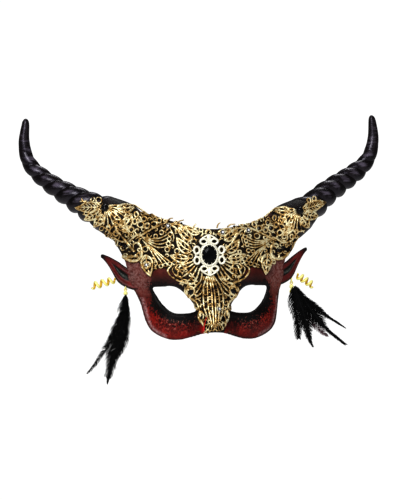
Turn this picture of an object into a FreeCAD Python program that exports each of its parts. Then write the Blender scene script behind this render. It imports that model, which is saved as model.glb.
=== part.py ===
"""Horned half mask with gilt lace, jewelled medallion and feather ear drops.

The frame: +Z up, the face looks along -Y, X across the wearer.  The origin is the point
midway between the wearer's eyes, level with the eye line, in the plane of the side rims.
"left" is the -X side.  Every size is in millimetres.
"""
import FreeCAD, Part
import math
import os

V = FreeCAD.Vector
os.makedirs("parts", exist_ok=True)
doc = FreeCAD.newDocument("folk_mask")

# ---------------------------------------------------------------- driving dimensions
SIZES = {
    "face_depth": 42.0, "wrap_depth": 54.0, "wrap_width": 57.0, "shell_wall": 3.0,
    "nose_height": 25.0, "nose_width": 17.0, "lace_wall": 1.3,
    "horn_groove": 0.13, "horn_pitch": 20.0, "wire_radius": 1.3,
    "medallion_height": 45.5, "bezel_wide": 9.4, "bezel_tall": 11.8, "bezel_rim": 1.6,
    "stone_wide": 7.8, "stone_tall": 10.2, "stone_rise": 3.6, "plate_wall": 2.2,
    "plate_back": 45.6, "plate_tilt": 6.0, "petal_rim": 1.5, "boss_radius": 5.0,
    "horn_bead_radius": 4.0, "rhinestone_radius": 2.4, "setting_radius": 3.0,
    "setting_deep": 1.6, "scroll_bead_radius": 1.9,
    "loop_bore": 3.0, "loop_outer": 4.6, "loop_tall": 3.2, "loop_plate": 6.0,
    "loop_x": 70.0, "loop_y": 4.0, "loop_z": 20.0,
    "coil_radius": 3.2, "coil_wire": 0.9, "coil_turns": 3.0,
    "ear_hole": 1.2, "ring_radius": 2.5, "ring_wire": 0.5,
    "hook_radius": 1.4, "hook_wire": 0.45, "hook_play": 0.05, "bead_radius": 2.1,
    "cap_radius": 2.4, "cap_tall": 4.0, "pad_wall": 1.2, "shank_radius": 1.6, "gem_tall": 1.4,
}
sheet = doc.addObject("Spreadsheet::Sheet", "sizes")
for row, (name, value) in enumerate(SIZES.items(), start=1):
    sheet.set("A%d" % row, name)
    sheet.set("B%d" % row, str(value))
    sheet.setAlias("B%d" % row, name)
doc.recompute()


def size(name):
    """A driving dimension, read back from the sheet."""
    return float(sheet.get(name))


SIDES = (("left", -1), ("right", 1))
kept = []


def keep(item, label):
    """Mark a document object as a sub-part to be written out under this label."""
    item.Label = label
    kept.append(item)
    return item


def solid_feature(label, shape):
    """A sub-part whose shape comes from Part's own functions."""
    feature = doc.addObject("Part::Feature", label)
    feature.Shape = shape
    return keep(feature, label)


def primitive(kind, name, links, base=V(0, 0, 0), turn=None):
    """A Part primitive whose sizes are bound to the sheet."""
    item = doc.addObject(kind, name)
    for prop, formula in links.items():
        item.setExpression(prop, formula)
    item.Placement = FreeCAD.Placement(base, turn or FreeCAD.Rotation())
    return item


def combine(kind, name, base, tool):
    """Part::Cut, Part::Fuse or Part::Common of two document objects."""
    item = doc.addObject(kind, name)
    item.Base, item.Tool = base, tool
    return item


def biggest(shape):
    """The largest solid of a shape."""
    return max(shape.Solids, key=lambda s: s.Volume)


# ---------------------------------------------------------------- surfaces and solids
def closed_solid(faces):
    """One solid from faces whose borders meet."""
    skin = Part.Shell(faces)
    skin.sewShape()
    body = Part.Solid(skin)
    if body.Volume < 0:
        body.reverse()
    return body


def loft_solid(loops):
    """A solid through closed loops of points, one loop per station, capped at both ends."""
    skin = Part.BSplineSurface()
    skin.interpolate([loop + loop[:1] for loop in loops])
    first, last = skin.bounds()[:2]
    caps = [Part.Face(Part.Wire([skin.uIso(u).toShape()])) for u in (first, last)]
    return closed_solid([skin.toShape()] + caps)


def sheet_solid(near, far):
    """A solid between two grids of points, walled by ruled faces."""
    skins = []
    for grid in (near, far):
        skin = Part.BSplineSurface()
        skin.interpolate(grid)
        skins.append(skin)
    faces = [skin.toShape() for skin in skins]
    for pick in (lambda s, b: s.uIso(b[0]), lambda s, b: s.uIso(b[1]),
                 lambda s, b: s.vIso(b[2]), lambda s, b: s.vIso(b[3])):
        edges = [pick(skin, skin.bounds()).toShape() for skin in skins]
        faces.append(Part.makeRuledSurface(edges[0], edges[1]))
    return closed_solid(faces)


def outline_prism(points, depth=160.0):
    """A prism along Y whose outline is a smooth closed curve through (x, z) points."""
    curve = Part.BSplineCurve()
    curve.interpolate([V(x, -depth, z) for x, z in points], PeriodicFlag=True)
    return Part.Face(Part.Wire([curve.toShape()])).extrude(V(0, 2 * depth, 0))


def mirrored(points):
    """The whole outline from its +X half, listed from the top centre to the bottom centre."""
    return points + [(-x, z) for x, z in reversed(points) if x > 0.01]


def flipped(shape, sign):
    """The shape itself on the +X side, its mirror image on the -X side."""
    return shape if sign > 0 else shape.mirror(V(0, 0, 0), V(1, 0, 0))


# ---------------------------------------------------------------- the face surface
def hump(distance, width):
    """A bell curve."""
    return math.exp(-(distance / width) ** 2)


def front(x, z):
    """Depth of the shell's painted face at x, z."""
    side = abs(x)
    y = -size("face_depth") + size("wrap_depth") * (math.hypot(1, x / size("wrap_width")) - 1)
    y += 0.0012 * max(0.0, z - 30) ** 2 + 0.004 * max(0.0, -z - 20) ** 2
    down = min(1.0, max(0.0, (38 - z) / 74))
    rise = size("nose_height") * down ** 1.3
    y -= rise * hump(x, size("nose_width") * (0.55 + 0.45 * down))
    y += 7 * hump(side - 37, 17) * hump(z - 1, 14)
    y -= 5 * hump(side - 42, 26) * hump(z - 25, 9)
    y -= 6 * hump(side - 50, 16) * hump(z + 24, 12)
    return y


def face_point(x, z, out=0.0):
    """The point of the face at x, z, moved out along the surface's normal."""
    step = 0.5
    slope_x = (front(x + step, z) - front(x - step, z)) / (2 * step)
    slope_z = (front(x, z + step) - front(x, z - step)) / (2 * step)
    normal = V(slope_x, -1, slope_z)
    normal.normalize()
    return V(x, front(x, z), z) + normal * out, normal


def face_grid(out):
    """A grid of face points moved out by a distance, negative towards the wearer."""
    columns = [-114 + 6 * i for i in range(39)]
    rows = [-54 + 6 * i for i in range(28)]
    return [[face_point(x, z, out)[0] for z in rows] for x in columns]


def behind_face(out):
    """All the space behind the face surface moved out by a distance."""
    grid = face_grid(out)
    back = [[V(p.x, 120, p.z) for p in column] for column in grid]
    return sheet_solid(grid, back)


# ---------------------------------------------------------------- the mask shell
SHELL_EDGE = mirrored([
    (0, 73), (22, 75), (42, 80), (58, 86.5), (78, 94), (93, 96), (101, 89), (100, 76), (93, 57.5),
    (86, 45), (83, 36), (82, 25), (79, 10), (73.5, -2), (70, -18), (65, -30.5), (54, -38.7),
    (42, -42.4), (27, -40.5), (14, -36.5), (0, -34.5)])
EYE_EDGE = [(59.5, 13), (52, 13.2), (37, 12.8), (29.5, 7), (21.5, -3), (18.2, -12.3), (24, -14),
            (31, -14.8), (43, -13), (52, -5), (57.5, 4)]

wall_slab = sheet_solid(face_grid(0), face_grid(-size("shell_wall")))
shell_prism = outline_prism(SHELL_EDGE)
shell_shape = wall_slab.common(shell_prism)
eye_tool = outline_prism(EYE_EDGE)
for name, sign in SIDES:
    shell_shape = shell_shape.cut(flipped(eye_tool, sign))
solid_feature("mask_shell", shell_shape)
face_space = behind_face(0)
lace_space = behind_face(size("lace_wall"))

# ---------------------------------------------------------------- horns
# centre line and radius, from the buried root to the tip, on the +X side
HORN_LINE = [
    (64, 20, 68, 12.0), (75, 14.5, 74, 18.0), (86, 12, 80, 21.0), (98, 14, 86, 19.6),
    (113.4, 21, 93.5, 16.4), (125.6, 30, 101.5, 14.3), (138.9, 40, 110, 12.2),
    (152.1, 49, 119, 10.6), (164.5, 57, 128.8, 9.3), (175.2, 63, 139.4, 8.0),
    (182.3, 67, 152, 6.7), (185.2, 69, 169, 5.3), (183.6, 70, 189, 2.4), (183.2, 70, 193, 1.0)]
HORN_STATIONS = 64
HORN_SIDES = 16
WIRE_STATIONS = 36
WIRE_SIDES = 8
WIRE_FROM_X = 110
WIRE_TO_Z = 175


def spline_samples(points, count):
    """Evenly spaced points and tangents on the smooth curve through the points."""
    curve = Part.BSplineCurve()
    curve.interpolate([V(*p[:3]) for p in points])
    length = curve.length()
    for i in range(count):
        at = curve.parameterAtDistance(length * i / (count - 1))
        tangent = V(curve.tangent(at)[0])
        tangent.normalize()
        yield length * i / (count - 1), curve.value(at), tangent, at


def blended(points, column, share):
    """The listed value in a column at a share of the list, from 0 to 1."""
    place = share * (len(points) - 1)
    low = min(int(place), len(points) - 2)
    mix = place - low
    return points[low][column] * (1 - mix) + points[low + 1][column] * mix


def tube_loops(points, count, around, radius_of, facing=V(0, 0, 1)):
    """Loops of points round a curve; radius_of gives the two half widths of a loop.

    The first half width lies square to the facing direction, and the second along it.
    """
    curve = Part.BSplineCurve()
    curve.interpolate([V(*p[:3]) for p in points])
    knots = curve.getKnots()
    loops = []
    across = None
    for distance, centre, tangent, at in spline_samples(points, count):
        share = 0.0
        for i in range(len(knots) - 1):
            if knots[i] <= at <= knots[i + 1] + 1e-9:
                share = (i + (at - knots[i]) / (knots[i + 1] - knots[i])) / (len(knots) - 1)
                break
        across = across or tangent.cross(facing)
        across = across - tangent * across.dot(tangent)
        across.normalize()
        up = across.cross(tangent)
        loop = []
        for k in range(around):
            angle = 2 * math.pi * k / around
            wide, tall = radius_of(share, distance, angle)
            loop.append(centre + across * (wide * math.cos(angle)) + up * (tall * math.sin(angle)))
        loops.append(loop)
    return loops


def horn_radius(extra):
    """Radius of the ridged horn, with rounded ridges that wind slowly round it."""
    def radius_of(share, distance, angle):
        plain = blended(HORN_LINE, 3, share)
        phase = math.pi * distance / size("horn_pitch") + 0.5 * angle
        fade = min(1.0, max(0.0, (0.9 - share) / 0.25)) * min(1.0, max(0.0, share / 0.3 - 0.3))
        notch = 1 - abs(math.sin(phase)) ** 0.7
        radius = plain * (1 - size("horn_groove") * fade * notch) + extra
        return radius, radius
    return radius_of


def wire_radius(share, distance, angle):
    """Radius of the wire inside the horn, the same all along."""
    return size("wire_radius"), size("wire_radius")


horn_tube = loft_solid(tube_loops(HORN_LINE, HORN_STATIONS, HORN_SIDES, horn_radius(0)))
horn_over = loft_solid(
    tube_loops(HORN_LINE, HORN_STATIONS, HORN_SIDES, horn_radius(size("lace_wall"))))
WIRE_LINE = [p for p in HORN_LINE if p[0] > WIRE_FROM_X and p[2] < WIRE_TO_Z]
horn_wire = loft_solid(tube_loops(WIRE_LINE, WIRE_STATIONS, WIRE_SIDES, wire_radius))
shell_wing = face_space.common(shell_prism)
horn_shape = biggest(horn_tube.cut(shell_wing)).cut(horn_wire)
for name, sign in SIDES:
    solid_feature(name + "_horn", flipped(horn_shape, sign))
    solid_feature(name + "_horn_wire", flipped(horn_wire, sign))

# ---------------------------------------------------------------- gilt lace
BROW_EDGE = mirrored([
    (0, 71.5), (22, 73.5), (42, 78.5), (58, 84.5), (76, 90), (88, 70), (88, 50), (84, 45.5),
    (70, 38.8), (61, 24.2), (49, 33.2), (40, 29.7), (34, 20.8), (24, 22), (12, 26), (0, 27)])
NOSE_EDGE = mirrored([(0, 30), (12, 27), (27, 16), (27.5, 9.5), (19, -5), (14.5, -17), (12, -26),
                      (8, -35.2), (0, -34)])
HORN_LACE_EDGE = [(76, 112), (98, 112), (112, 106), (127, 103), (122, 91), (108, 78), (95, 60),
                  (84, 46), (74, 52), (66, 80)]

lace_slab = sheet_solid(face_grid(size("lace_wall")), face_grid(0))
brow_prism = outline_prism(BROW_EDGE)
brow_shape = lace_slab.common(brow_prism).common(shell_prism)
nose_shape = lace_slab.common(outline_prism(NOSE_EDGE)).common(shell_prism).cut(brow_prism)
horn_lace = horn_over.cut(horn_tube).common(outline_prism(HORN_LACE_EDGE)).cut(lace_space)
front_half = Part.makeBox(90, 104, 90, V(60, -90, 30))
horn_lace = biggest(horn_lace.common(front_half))
for name, sign in SIDES:
    brow_shape = brow_shape.cut(flipped(horn_over, sign))
    solid_feature(name + "_horn_lace", flipped(horn_lace, sign))
solid_feature("brow_lace", biggest(brow_shape))
solid_feature("nose_lace", biggest(nose_shape))

# ---------------------------------------------------------------- ears
# middle line, width and depth of the cupped leaf, from the glued root to the tip
EAR_LINE = [(77, -1.0, 24, 25.0, 2.0), (83, 1.0, 26, 24.5, 3.5), (90, 4.0, 31, 21.0, 4.0),
            (98, 8.5, 38, 15.0, 3.5), (104, 12.5, 43.8, 8.0, 2.2), (109.2, 16.0, 48.6, 1.2, 0.5)]
EAR_STATIONS = 25
EAR_SIDES = 20
EAR_WALL = 1.5


def ear_loops():
    """Crescent sections: the rims of the leaf curl forward, its middle is hollow."""
    loops = []
    line = [V(*p[:3]) for p in EAR_LINE]
    curve = Part.BSplineCurve()
    curve.interpolate(line)
    for i in range(EAR_STATIONS):
        share = i / (EAR_STATIONS - 1)
        at = curve.FirstParameter + share * (curve.LastParameter - curve.FirstParameter)
        centre = curve.value(at)
        tangent = V(curve.tangent(at)[0])
        across = tangent.cross(V(0, -1, 0))
        across.normalize()
        ahead = across.cross(tangent)
        ahead.normalize()
        ahead = ahead if ahead.y < 0 else -ahead
        wide = blended(EAR_LINE, 3, share) / 2
        cup = blended(EAR_LINE, 4, share)
        loop = []
        for k in range(EAR_SIDES):
            angle = 2 * math.pi * k / EAR_SIDES
            along = math.cos(angle)
            lift = cup * along * along + min(EAR_WALL, 0.6 * wide) * math.sin(angle)
            loop.append(centre + across * (wide * along) + ahead * lift)
        loops.append(loop)
    return loops


ear_leaf = loft_solid(ear_loops())

# the two ends of each ear's gold wire coil, as on the +X side
COILS = {"left": (V(93.5, 6, 21.5), V(119, 9.5, 14.5)), "right": (V(97, 7.8, 23.5), V(114, 10, 12))}


def wire_coil(start, end):
    """A wire coil from the lower edge of the ear outwards."""
    axis = end - start
    helix = Part.makeHelix(axis.Length / size("coil_turns"), axis.Length, size("coil_radius"))
    wire_end = Part.makeCircle(size("coil_wire"), V(size("coil_radius"), 0, 0), V(0, 1, 0.4))
    coil = Part.Wire(helix.Edges).makePipeShell([Part.Wire([wire_end])], True, True)
    coil.Placement = FreeCAD.Placement(start, FreeCAD.Rotation(V(0, 0, 1), axis))
    return coil


# where each ring hangs in the ear's lobe, on the +X side
HOLES = {"left": V(84.0, 2.0, 16.0), "right": V(90.5, 4.6, 20.6)}
for name, sign in SIDES:
    hole = Part.makeCylinder(size("ear_hole"), 30, HOLES[name] - V(0, 15, 0), V(0, 1, 0))
    ear = biggest(ear_leaf.cut(shell_shape).cut(hole))
    solid_feature(name + "_ear", flipped(ear, sign))
    solid_feature(name + "_ear_coil", flipped(wire_coil(*COILS[name]), sign))

# ---------------------------------------------------------------- medallion
# its own frame: the plate's back at y = 0, its front faces -Y, leaning out at the bottom
SEAT = FreeCAD.Placement(V(0, -size("plate_back"), size("medallion_height")),
                         FreeCAD.Rotation(V(1, 0, 0), -size("plate_tilt")))
# centre, half width and half height of the petals on the +X side
PETALS = [(5.0, 15.6, 4.4, 5.2), (11.9, 7.0, 5.1, 5.3), (11.9, -7.0, 5.1, 5.3),
          (5.0, -15.6, 4.4, 5.2)]
TIP_FOOT = 13.0
TIP_END = 21.6
TIP_HALF_WIDTH = 2.6
PETAL_SHARE = "sizes.plate_wall * 0.8"
TIP_SHARE = "sizes.plate_wall * 0.7"


def ellipse(x, y, wide, tall):
    """An ellipse for a sketch, whichever way it is longer."""
    if wide >= tall:
        return Part.Ellipse(V(x + wide, y, 0), V(x, y + tall, 0), V(x, y, 0))
    return Part.Ellipse(V(x, y + tall, 0), V(x - wide, y, 0), V(x, y, 0))


def origin_plane(body, role):
    """One of a body's own origin planes."""
    return next(f for f in body.Origin.OriginFeatures if f.Role == role)


def sketch_pad(body, name, curves, formula, reverse=False):
    """A pad of closed curves drawn on the body's upright plane."""
    sketch = body.newObject("Sketcher::SketchObject", name + "_sketch")
    sketch.AttachmentSupport = [(origin_plane(body, "XZ_Plane"), "")]
    sketch.MapMode = "FlatFace"
    for curve in curves:
        sketch.addGeometry(curve, False)
    pad = body.newObject("PartDesign::Pad", name)
    pad.Profile = sketch
    pad.Reversed = reverse
    pad.setExpression("Length", formula)
    return pad


def triangle(points):
    """Three lines for a sketch."""
    ring = points + points[:1]
    return [Part.LineSegment(V(*ring[i], 0), V(*ring[i + 1], 0)) for i in range(3)]


frame_body = doc.addObject("PartDesign::Body", "medallion_frame")
sketch_pad(frame_body, "backing", [ellipse(0, 0, size("bezel_wide"), size("bezel_tall"))],
           "sizes.plate_wall")
for index, (x, y, wide, tall) in enumerate(PETALS):
    for name, sign in SIDES:
        rim = size("petal_rim")
        sketch_pad(frame_body, "petal_%s_%d" % (name, index),
                   [ellipse(sign * x, y, wide, tall), ellipse(sign * x, y, wide - rim, tall - rim)],
                   PETAL_SHARE)
for index, end in enumerate((1, -1)):
    corners = [(-TIP_HALF_WIDTH, end * TIP_FOOT), (0, end * TIP_END),
               (TIP_HALF_WIDTH, end * TIP_FOOT)]
    sketch_pad(frame_body, "tip_%d" % index, triangle(corners), TIP_SHARE)
frame_body.Placement = SEAT
keep(frame_body, "medallion_frame")

bezel_body = doc.addObject("PartDesign::Body", "medallion_bezel")
sketch_pad(bezel_body, "rim", [ellipse(0, 0, size("bezel_wide"), size("bezel_tall")),
                               ellipse(0, 0, size("stone_wide"), size("stone_tall"))],
           "sizes.bezel_rim")
plate_front = FreeCAD.Placement(V(0, -size("plate_wall"), 0), FreeCAD.Rotation())
bezel_body.Placement = SEAT.multiply(plate_front)
keep(bezel_body, "medallion_bezel")


STONE_SIDES = 16
POST_LONG = 12


def oval_ring(share, y):
    """A many-sided oval for one level of the faceted stone."""
    ring = []
    for k in range(STONE_SIDES + 1):
        angle = 2 * math.pi * k / STONE_SIDES
        ring.append(V(share * size("stone_wide") * math.cos(angle), y,
                      share * size("stone_tall") * math.sin(angle)))
    return Part.makePolygon(ring)


rise = size("stone_rise")
stone = Part.makeLoft([oval_ring(0.97, 0), oval_ring(0.97, -0.35 * rise),
                       oval_ring(0.78, -0.75 * rise), oval_ring(0.48, -rise)], True, True)
stone.Placement = SEAT.multiply(plate_front)
solid_feature("centre_stone", stone)
post = Part.makeCylinder(size("boss_radius"), POST_LONG, V(0, 0, 0), V(0, 1, 0))
post.Placement = SEAT.multiply(post.Placement)
solid_feature("medallion_post", biggest(post.cut(lace_space)))

# ---------------------------------------------------------------- beads and rhinestones
def seated_ball(x, z, radius, sunk):
    """A bead on the +X side, sunk a little into whatever lies furthest forward there."""
    ray = Part.makeLine(V(x, -110, z), V(x, 60, z))
    depths = [v.Point.y for v in ray.common(horn_over).Vertexes]
    depths.append(face_point(x, z, size("lace_wall"))[0].y)
    ball = Part.makeSphere(radius, V(x, min(depths) - radius + sunk, z))
    return biggest(ball.cut(lace_space).cut(horn_over))


# places as if on the +X side, and how deep each kind of bead is sunk
HORN_BEAD = {"left": (105.0, 96.5), "right": (99.0, 90.5)}
HORN_BEAD_SUNK = 1.6
SCROLL = {"left": [(88, 58), (83, 55.2), (78, 52), (73.4, 48.4)], "right": [(80, 53), (75, 49.6)]}
SCROLL_BEAD_SUNK = 0.8
for name, sign in SIDES:
    big = seated_ball(*HORN_BEAD[name], size("horn_bead_radius"), HORN_BEAD_SUNK)
    solid_feature(name + "_horn_bead", flipped(big, sign))
    row = [flipped(seated_ball(x, z, size("scroll_bead_radius"), SCROLL_BEAD_SUNK), sign)
           for x, z in SCROLL[name]]
    solid_feature(name + "_scroll_beads", Part.makeCompound(row))

BROW_STONES = [(-40, 73.5), (42, 73), (14.5, 70), (-62, 36)]
NOSE_STONE = (4.5, -11)
CUP_ROOT = 3.0


def jewel(x, z):
    """A cup that follows the lace beneath it, and the cut stone that sits on its flat top."""
    foot, normal = face_point(x, z, size("lace_wall"))
    deep = size("setting_deep")
    cup = Part.makeCylinder(size("setting_radius"), deep + CUP_ROOT, foot - normal * CUP_ROOT,
                            normal)
    cup = biggest(cup.cut(lace_space))
    gem = Part.makeCone(size("rhinestone_radius"), 0.45 * size("rhinestone_radius"),
                        size("gem_tall"), foot + normal * deep, normal)
    return cup, gem


cups_and_gems = [jewel(x, z) for x, z in BROW_STONES + [NOSE_STONE]]
solid_feature("rhinestone_settings", Part.makeCompound([pair[0] for pair in cups_and_gems]))
solid_feature("brow_rhinestones", Part.makeCompound([pair[1] for pair in cups_and_gems[:-1]]))
solid_feature("nose_rhinestone", cups_and_gems[-1][1])

# ---------------------------------------------------------------- tie loops inside the rims
pad_back = size("shell_wall") + size("pad_wall")
pad_slab = sheet_solid(face_grid(-size("shell_wall")), face_grid(-pad_back))
wall_space = behind_face(-size("shell_wall"))
LOOP = V(size("loop_x"), size("loop_y"), size("loop_z"))
half_tall = V(0, 0, size("loop_tall") / 2)
ahead = V(0, 24, 0)
loop_shape = Part.makeCylinder(size("loop_outer"), size("loop_tall"), LOOP - half_tall)
shank = Part.makeCylinder(size("shank_radius"), ahead.y, LOOP - ahead, V(0, 1, 0))
foot_column = Part.makeCylinder(size("loop_plate"), 2 * ahead.y, LOOP - ahead * 1.6, V(0, 1, 0))
foot_pad = pad_slab.common(foot_column)
loop_bore = Part.makeCylinder(size("loop_bore"), 4 * size("loop_tall"), LOOP - half_tall * 4)
loop_shape = loop_shape.fuse([shank, foot_pad]).cut(loop_bore).common(wall_space)
loop_shape = biggest(loop_shape)
for name, sign in SIDES:
    solid_feature(name + "_tie_loop", flipped(loop_shape, sign))

# ---------------------------------------------------------------- ear drops
# each feather: line points with half width and half thickness, measured from the cap's foot
FEATHERS = {
    "left": {
        "long_feather": [(-0.6, -0.7, 0.2, 0.7, 0.4), (-4, -2.2, -14, 4.5, 1.0),
                         (-10, -2.6, -34, 8.5, 1.2), (-15, -2.6, -55, 7.5, 1.2),
                         (-19, -2.4, -76, 4.0, 1.0), (-21, -2.2, -92, 0.7, 0.4)],
        "puff_feather": [(0.9, -0.8, 0.2, 0.7, 0.4), (0.6, -4.4, -5, 3.6, 1.2),
                         (-0.6, -6.0, -11, 4.2, 1.4), (-2, -6.6, -17, 0.8, 0.5)],
        "outer_wisp": [(-0.9, 0.8, 0.2, 0.5, 0.4), (-10, 2.0, -26, 3.5, 0.8),
                       (-24, 2.6, -54, 3.0, 0.8), (-41, 3.0, -82, 0.5, 0.3)],
        "inner_wisp": [(0.8, 0.9, 0.2, 0.5, 0.4), (-1, 5.0, -22, 4.0, 1.0),
                       (-4, 6.4, -44, 4.5, 1.0), (-3, 6.6, -64, 0.6, 0.4)]},
    "right": {
        "inner_feather": [(-0.8, -0.7, 0.2, 0.6, 0.4), (-1, -2.4, -16, 3.6, 1.0),
                          (0, -3.0, -34, 4.0, 1.0), (4, -3.0, -54, 0.6, 0.4)],
        "middle_feather": [(0.6, -0.9, 0.2, 0.6, 0.4), (5, -5.4, -18, 5.0, 1.1),
                           (11, -6.8, -38, 5.5, 1.1), (19, -7.0, -60, 0.7, 0.4)],
        "outer_feather": [(0.9, 0.6, 0.2, 0.6, 0.4), (13, 1.6, -18, 5.4, 1.1),
                          (32, 2.4, -37, 5.4, 1.1), (54, 2.6, -55, 0.7, 0.4)],
        "upper_feather": [(0.5, 1.7, 0.2, 0.5, 0.3), (17, 6.0, -13, 4.0, 1.0),
                          (36, 7.6, -27, 4.0, 1.0), (56, 8.0, -41, 0.7, 0.4)],
        "brown_feather": [(-0.9, 1.3, 0.2, 0.4, 0.3), (8, 10.6, -17, 3.6, 0.8),
                          (22, 12.6, -34, 4.0, 0.8), (39, 13.0, -50, 0.6, 0.4)]}}


FEATHER_STATIONS = 26
FEATHER_SIDES = 12
BELOW = 200


def feather_shape(points, cap_foot):
    """A flat, pointed leaf along its quill, thick enough to stay one closed solid."""
    line = [(cap_foot.x + p[0], cap_foot.y + p[1], cap_foot.z + p[2]) + p[3:] for p in points]

    def half_widths(share, distance, angle):
        return blended(line, 3, share), blended(line, 4, share)

    return loft_solid(
        tube_loops(line, FEATHER_STATIONS, FEATHER_SIDES, half_widths, facing=V(0, 1, 0)))


ring_drop = size("ring_radius") * 2
hook_gap = size("ring_wire") + size("hook_wire") + size("hook_play")
bead_trim = 0.2
for name, sign in SIDES:
    hole = V(sign * HOLES[name].x, HOLES[name].y, HOLES[name].z)
    upright = FreeCAD.Rotation(V(0, 1, 0), 90)
    ring = primitive("Part::Torus", name + "_jump_ring",
                     {"Radius1": "sizes.ring_radius", "Radius2": "sizes.ring_wire"},
                     hole - V(0, 0, size("ring_radius")), upright)
    keep(ring, name + "_jump_ring")
    pivot = hole - V(0, 0, ring_drop - hook_gap)
    eye_centre = pivot - V(0, 0, size("hook_radius"))
    eye = primitive("Part::Torus", name + "_eye",
                    {"Radius1": "sizes.hook_radius", "Radius2": "sizes.hook_wire"},
                    eye_centre, FreeCAD.Rotation(V(1, 0, 0), 90))
    bead_top = eye_centre - V(0, 0, size("hook_radius") + 0.6 * size("hook_wire"))
    bead_centre = bead_top - V(0, 0, size("bead_radius"))
    cap_top = bead_centre - V(0, 0, size("bead_radius"))
    stem = primitive("Part::Cylinder", name + "_stem",
                     {"Radius": "sizes.hook_wire", "Height": "2 * sizes.bead_radius"}, cap_top)
    keep(combine("Part::Fuse", name + "_eye_pin", eye, stem), name + "_eye_pin")
    ball = primitive("Part::Sphere", name + "_ball", {"Radius": "sizes.bead_radius"}, bead_centre)
    drill = primitive("Part::Cylinder", name + "_drill",
                      {"Radius": "sizes.hook_wire", "Height": "4 * sizes.bead_radius"},
                      cap_top - V(0, 0, size("bead_radius")))
    bored = combine("Part::Cut", name + "_bored_bead", ball, drill)
    top_slab = primitive("Part::Box", name + "_trim",
                         {"Length": "4 * sizes.bead_radius", "Width": "4 * sizes.bead_radius",
                          "Height": "sizes.bead_radius"},
                         bead_top - V(2 * size("bead_radius"), 2 * size("bead_radius"), bead_trim))
    keep(combine("Part::Cut", name + "_drop_bead", bored, top_slab), name + "_drop_bead")
    cap_foot = cap_top - V(0, 0, size("cap_tall"))
    cap = primitive("Part::Cone", name + "_feather_cap",
                    {"Radius1": "sizes.cap_radius", "Radius2": "sizes.cap_radius * 0.45",
                     "Height": "sizes.cap_tall"}, cap_foot)
    keep(cap, name + "_feather_cap")
    for feather, points in FEATHERS[name].items():
        body = feather_shape(points, cap_foot)
        below = Part.makeBox(BELOW, BELOW, BELOW, cap_foot - V(BELOW / 2, BELOW / 2, BELOW))
        solid_feature(name + "_" + feather, biggest(body.common(below)))
    print(name, "ring hinge", tuple(hole), "drop hinge", tuple(pivot))

# ---------------------------------------------------------------- checks and output
doc.recompute()
for item in doc.Objects:
    if "Invalid" in item.State or "Error" in item.State:
        raise RuntimeError("failed object: " + item.Label)
for item in kept:
    shape = item.Shape
    if shape.isNull() or not shape.isValid() or not shape.Solids:
        raise RuntimeError("bad shape: " + item.Label)
for item in kept:
    item.Shape.exportStep("parts/%s.step" % item.Label)
print(len(kept), "sub-parts written")
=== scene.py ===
"""Looks of the horned half mask: the painted shell, ridged horns, gilt lace, jewels and feathers.

Lengths in this script are millimetres in the frame's axes (+Z up, the face looks along -Y),
and become metres when a mesh is made.
"""
import math
import random

import bpy
import numpy as np
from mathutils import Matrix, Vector, noise
from mathutils.bvhtree import BVHTree


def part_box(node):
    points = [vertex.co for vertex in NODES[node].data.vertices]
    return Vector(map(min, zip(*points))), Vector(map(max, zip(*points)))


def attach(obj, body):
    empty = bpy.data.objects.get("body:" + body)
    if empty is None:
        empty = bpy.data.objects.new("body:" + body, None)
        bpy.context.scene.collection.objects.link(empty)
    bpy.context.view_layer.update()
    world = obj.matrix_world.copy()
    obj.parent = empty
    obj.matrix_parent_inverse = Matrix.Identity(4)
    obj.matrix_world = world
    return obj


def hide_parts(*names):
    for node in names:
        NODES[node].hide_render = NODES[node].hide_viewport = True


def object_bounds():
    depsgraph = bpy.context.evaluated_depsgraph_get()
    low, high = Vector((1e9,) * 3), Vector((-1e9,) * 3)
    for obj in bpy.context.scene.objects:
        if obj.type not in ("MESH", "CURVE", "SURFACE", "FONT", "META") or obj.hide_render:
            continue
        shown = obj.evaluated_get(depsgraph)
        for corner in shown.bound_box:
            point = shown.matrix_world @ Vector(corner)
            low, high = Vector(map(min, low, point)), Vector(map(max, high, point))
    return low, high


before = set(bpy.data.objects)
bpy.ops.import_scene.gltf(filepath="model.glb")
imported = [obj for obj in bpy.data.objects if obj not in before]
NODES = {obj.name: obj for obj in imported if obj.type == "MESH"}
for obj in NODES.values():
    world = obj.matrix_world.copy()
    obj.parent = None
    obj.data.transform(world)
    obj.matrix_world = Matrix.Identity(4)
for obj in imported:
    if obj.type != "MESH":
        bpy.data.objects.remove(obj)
cad_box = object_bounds()
MM = 0.001
SIDES = (("left", -1), ("right", 1))
AHEAD = np.array([0.0, -1.0, 0.0])
UP = (0.0, 0.0, 1.0)
draw = random.Random(7)


# ------------------------------------------------------------------ meshes
def mesh_object(name, points, faces, smooth=True):
    """A mesh object from points in millimetres."""
    data = bpy.data.meshes.new(name)
    data.from_pydata((np.asarray(points, dtype=float) * MM).tolist(), [], faces)
    data.update()
    item = bpy.data.objects.new(name, data)
    bpy.context.collection.objects.link(item)
    data.polygons.foreach_set("use_smooth", [smooth] * len(data.polygons))
    return item


def points_of(item):
    """A mesh object's points in millimetres."""
    flat = np.empty(len(item.data.vertices) * 3)
    item.data.vertices.foreach_get("co", flat)
    return flat.reshape(-1, 3) / MM


def move_points(item, points):
    """Puts a mesh object's points at places in millimetres."""
    item.data.vertices.foreach_set("co", (points * MM).ravel())
    item.data.update()


def normals_of(item):
    """Unit normals at a mesh object's points."""
    flat = np.empty(len(item.data.vertices) * 3)
    item.data.vertex_normals.foreach_get("vector", flat)
    return flat.reshape(-1, 3)


def apply_modifiers(item):
    """Replaces a mesh with what its modifiers make of it."""
    graph = bpy.context.evaluated_depsgraph_get()
    data = bpy.data.meshes.new_from_object(item.evaluated_get(graph))
    item.modifiers.clear()
    item.data = data
    data.polygons.foreach_set("use_smooth", [True] * len(data.polygons))


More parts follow.
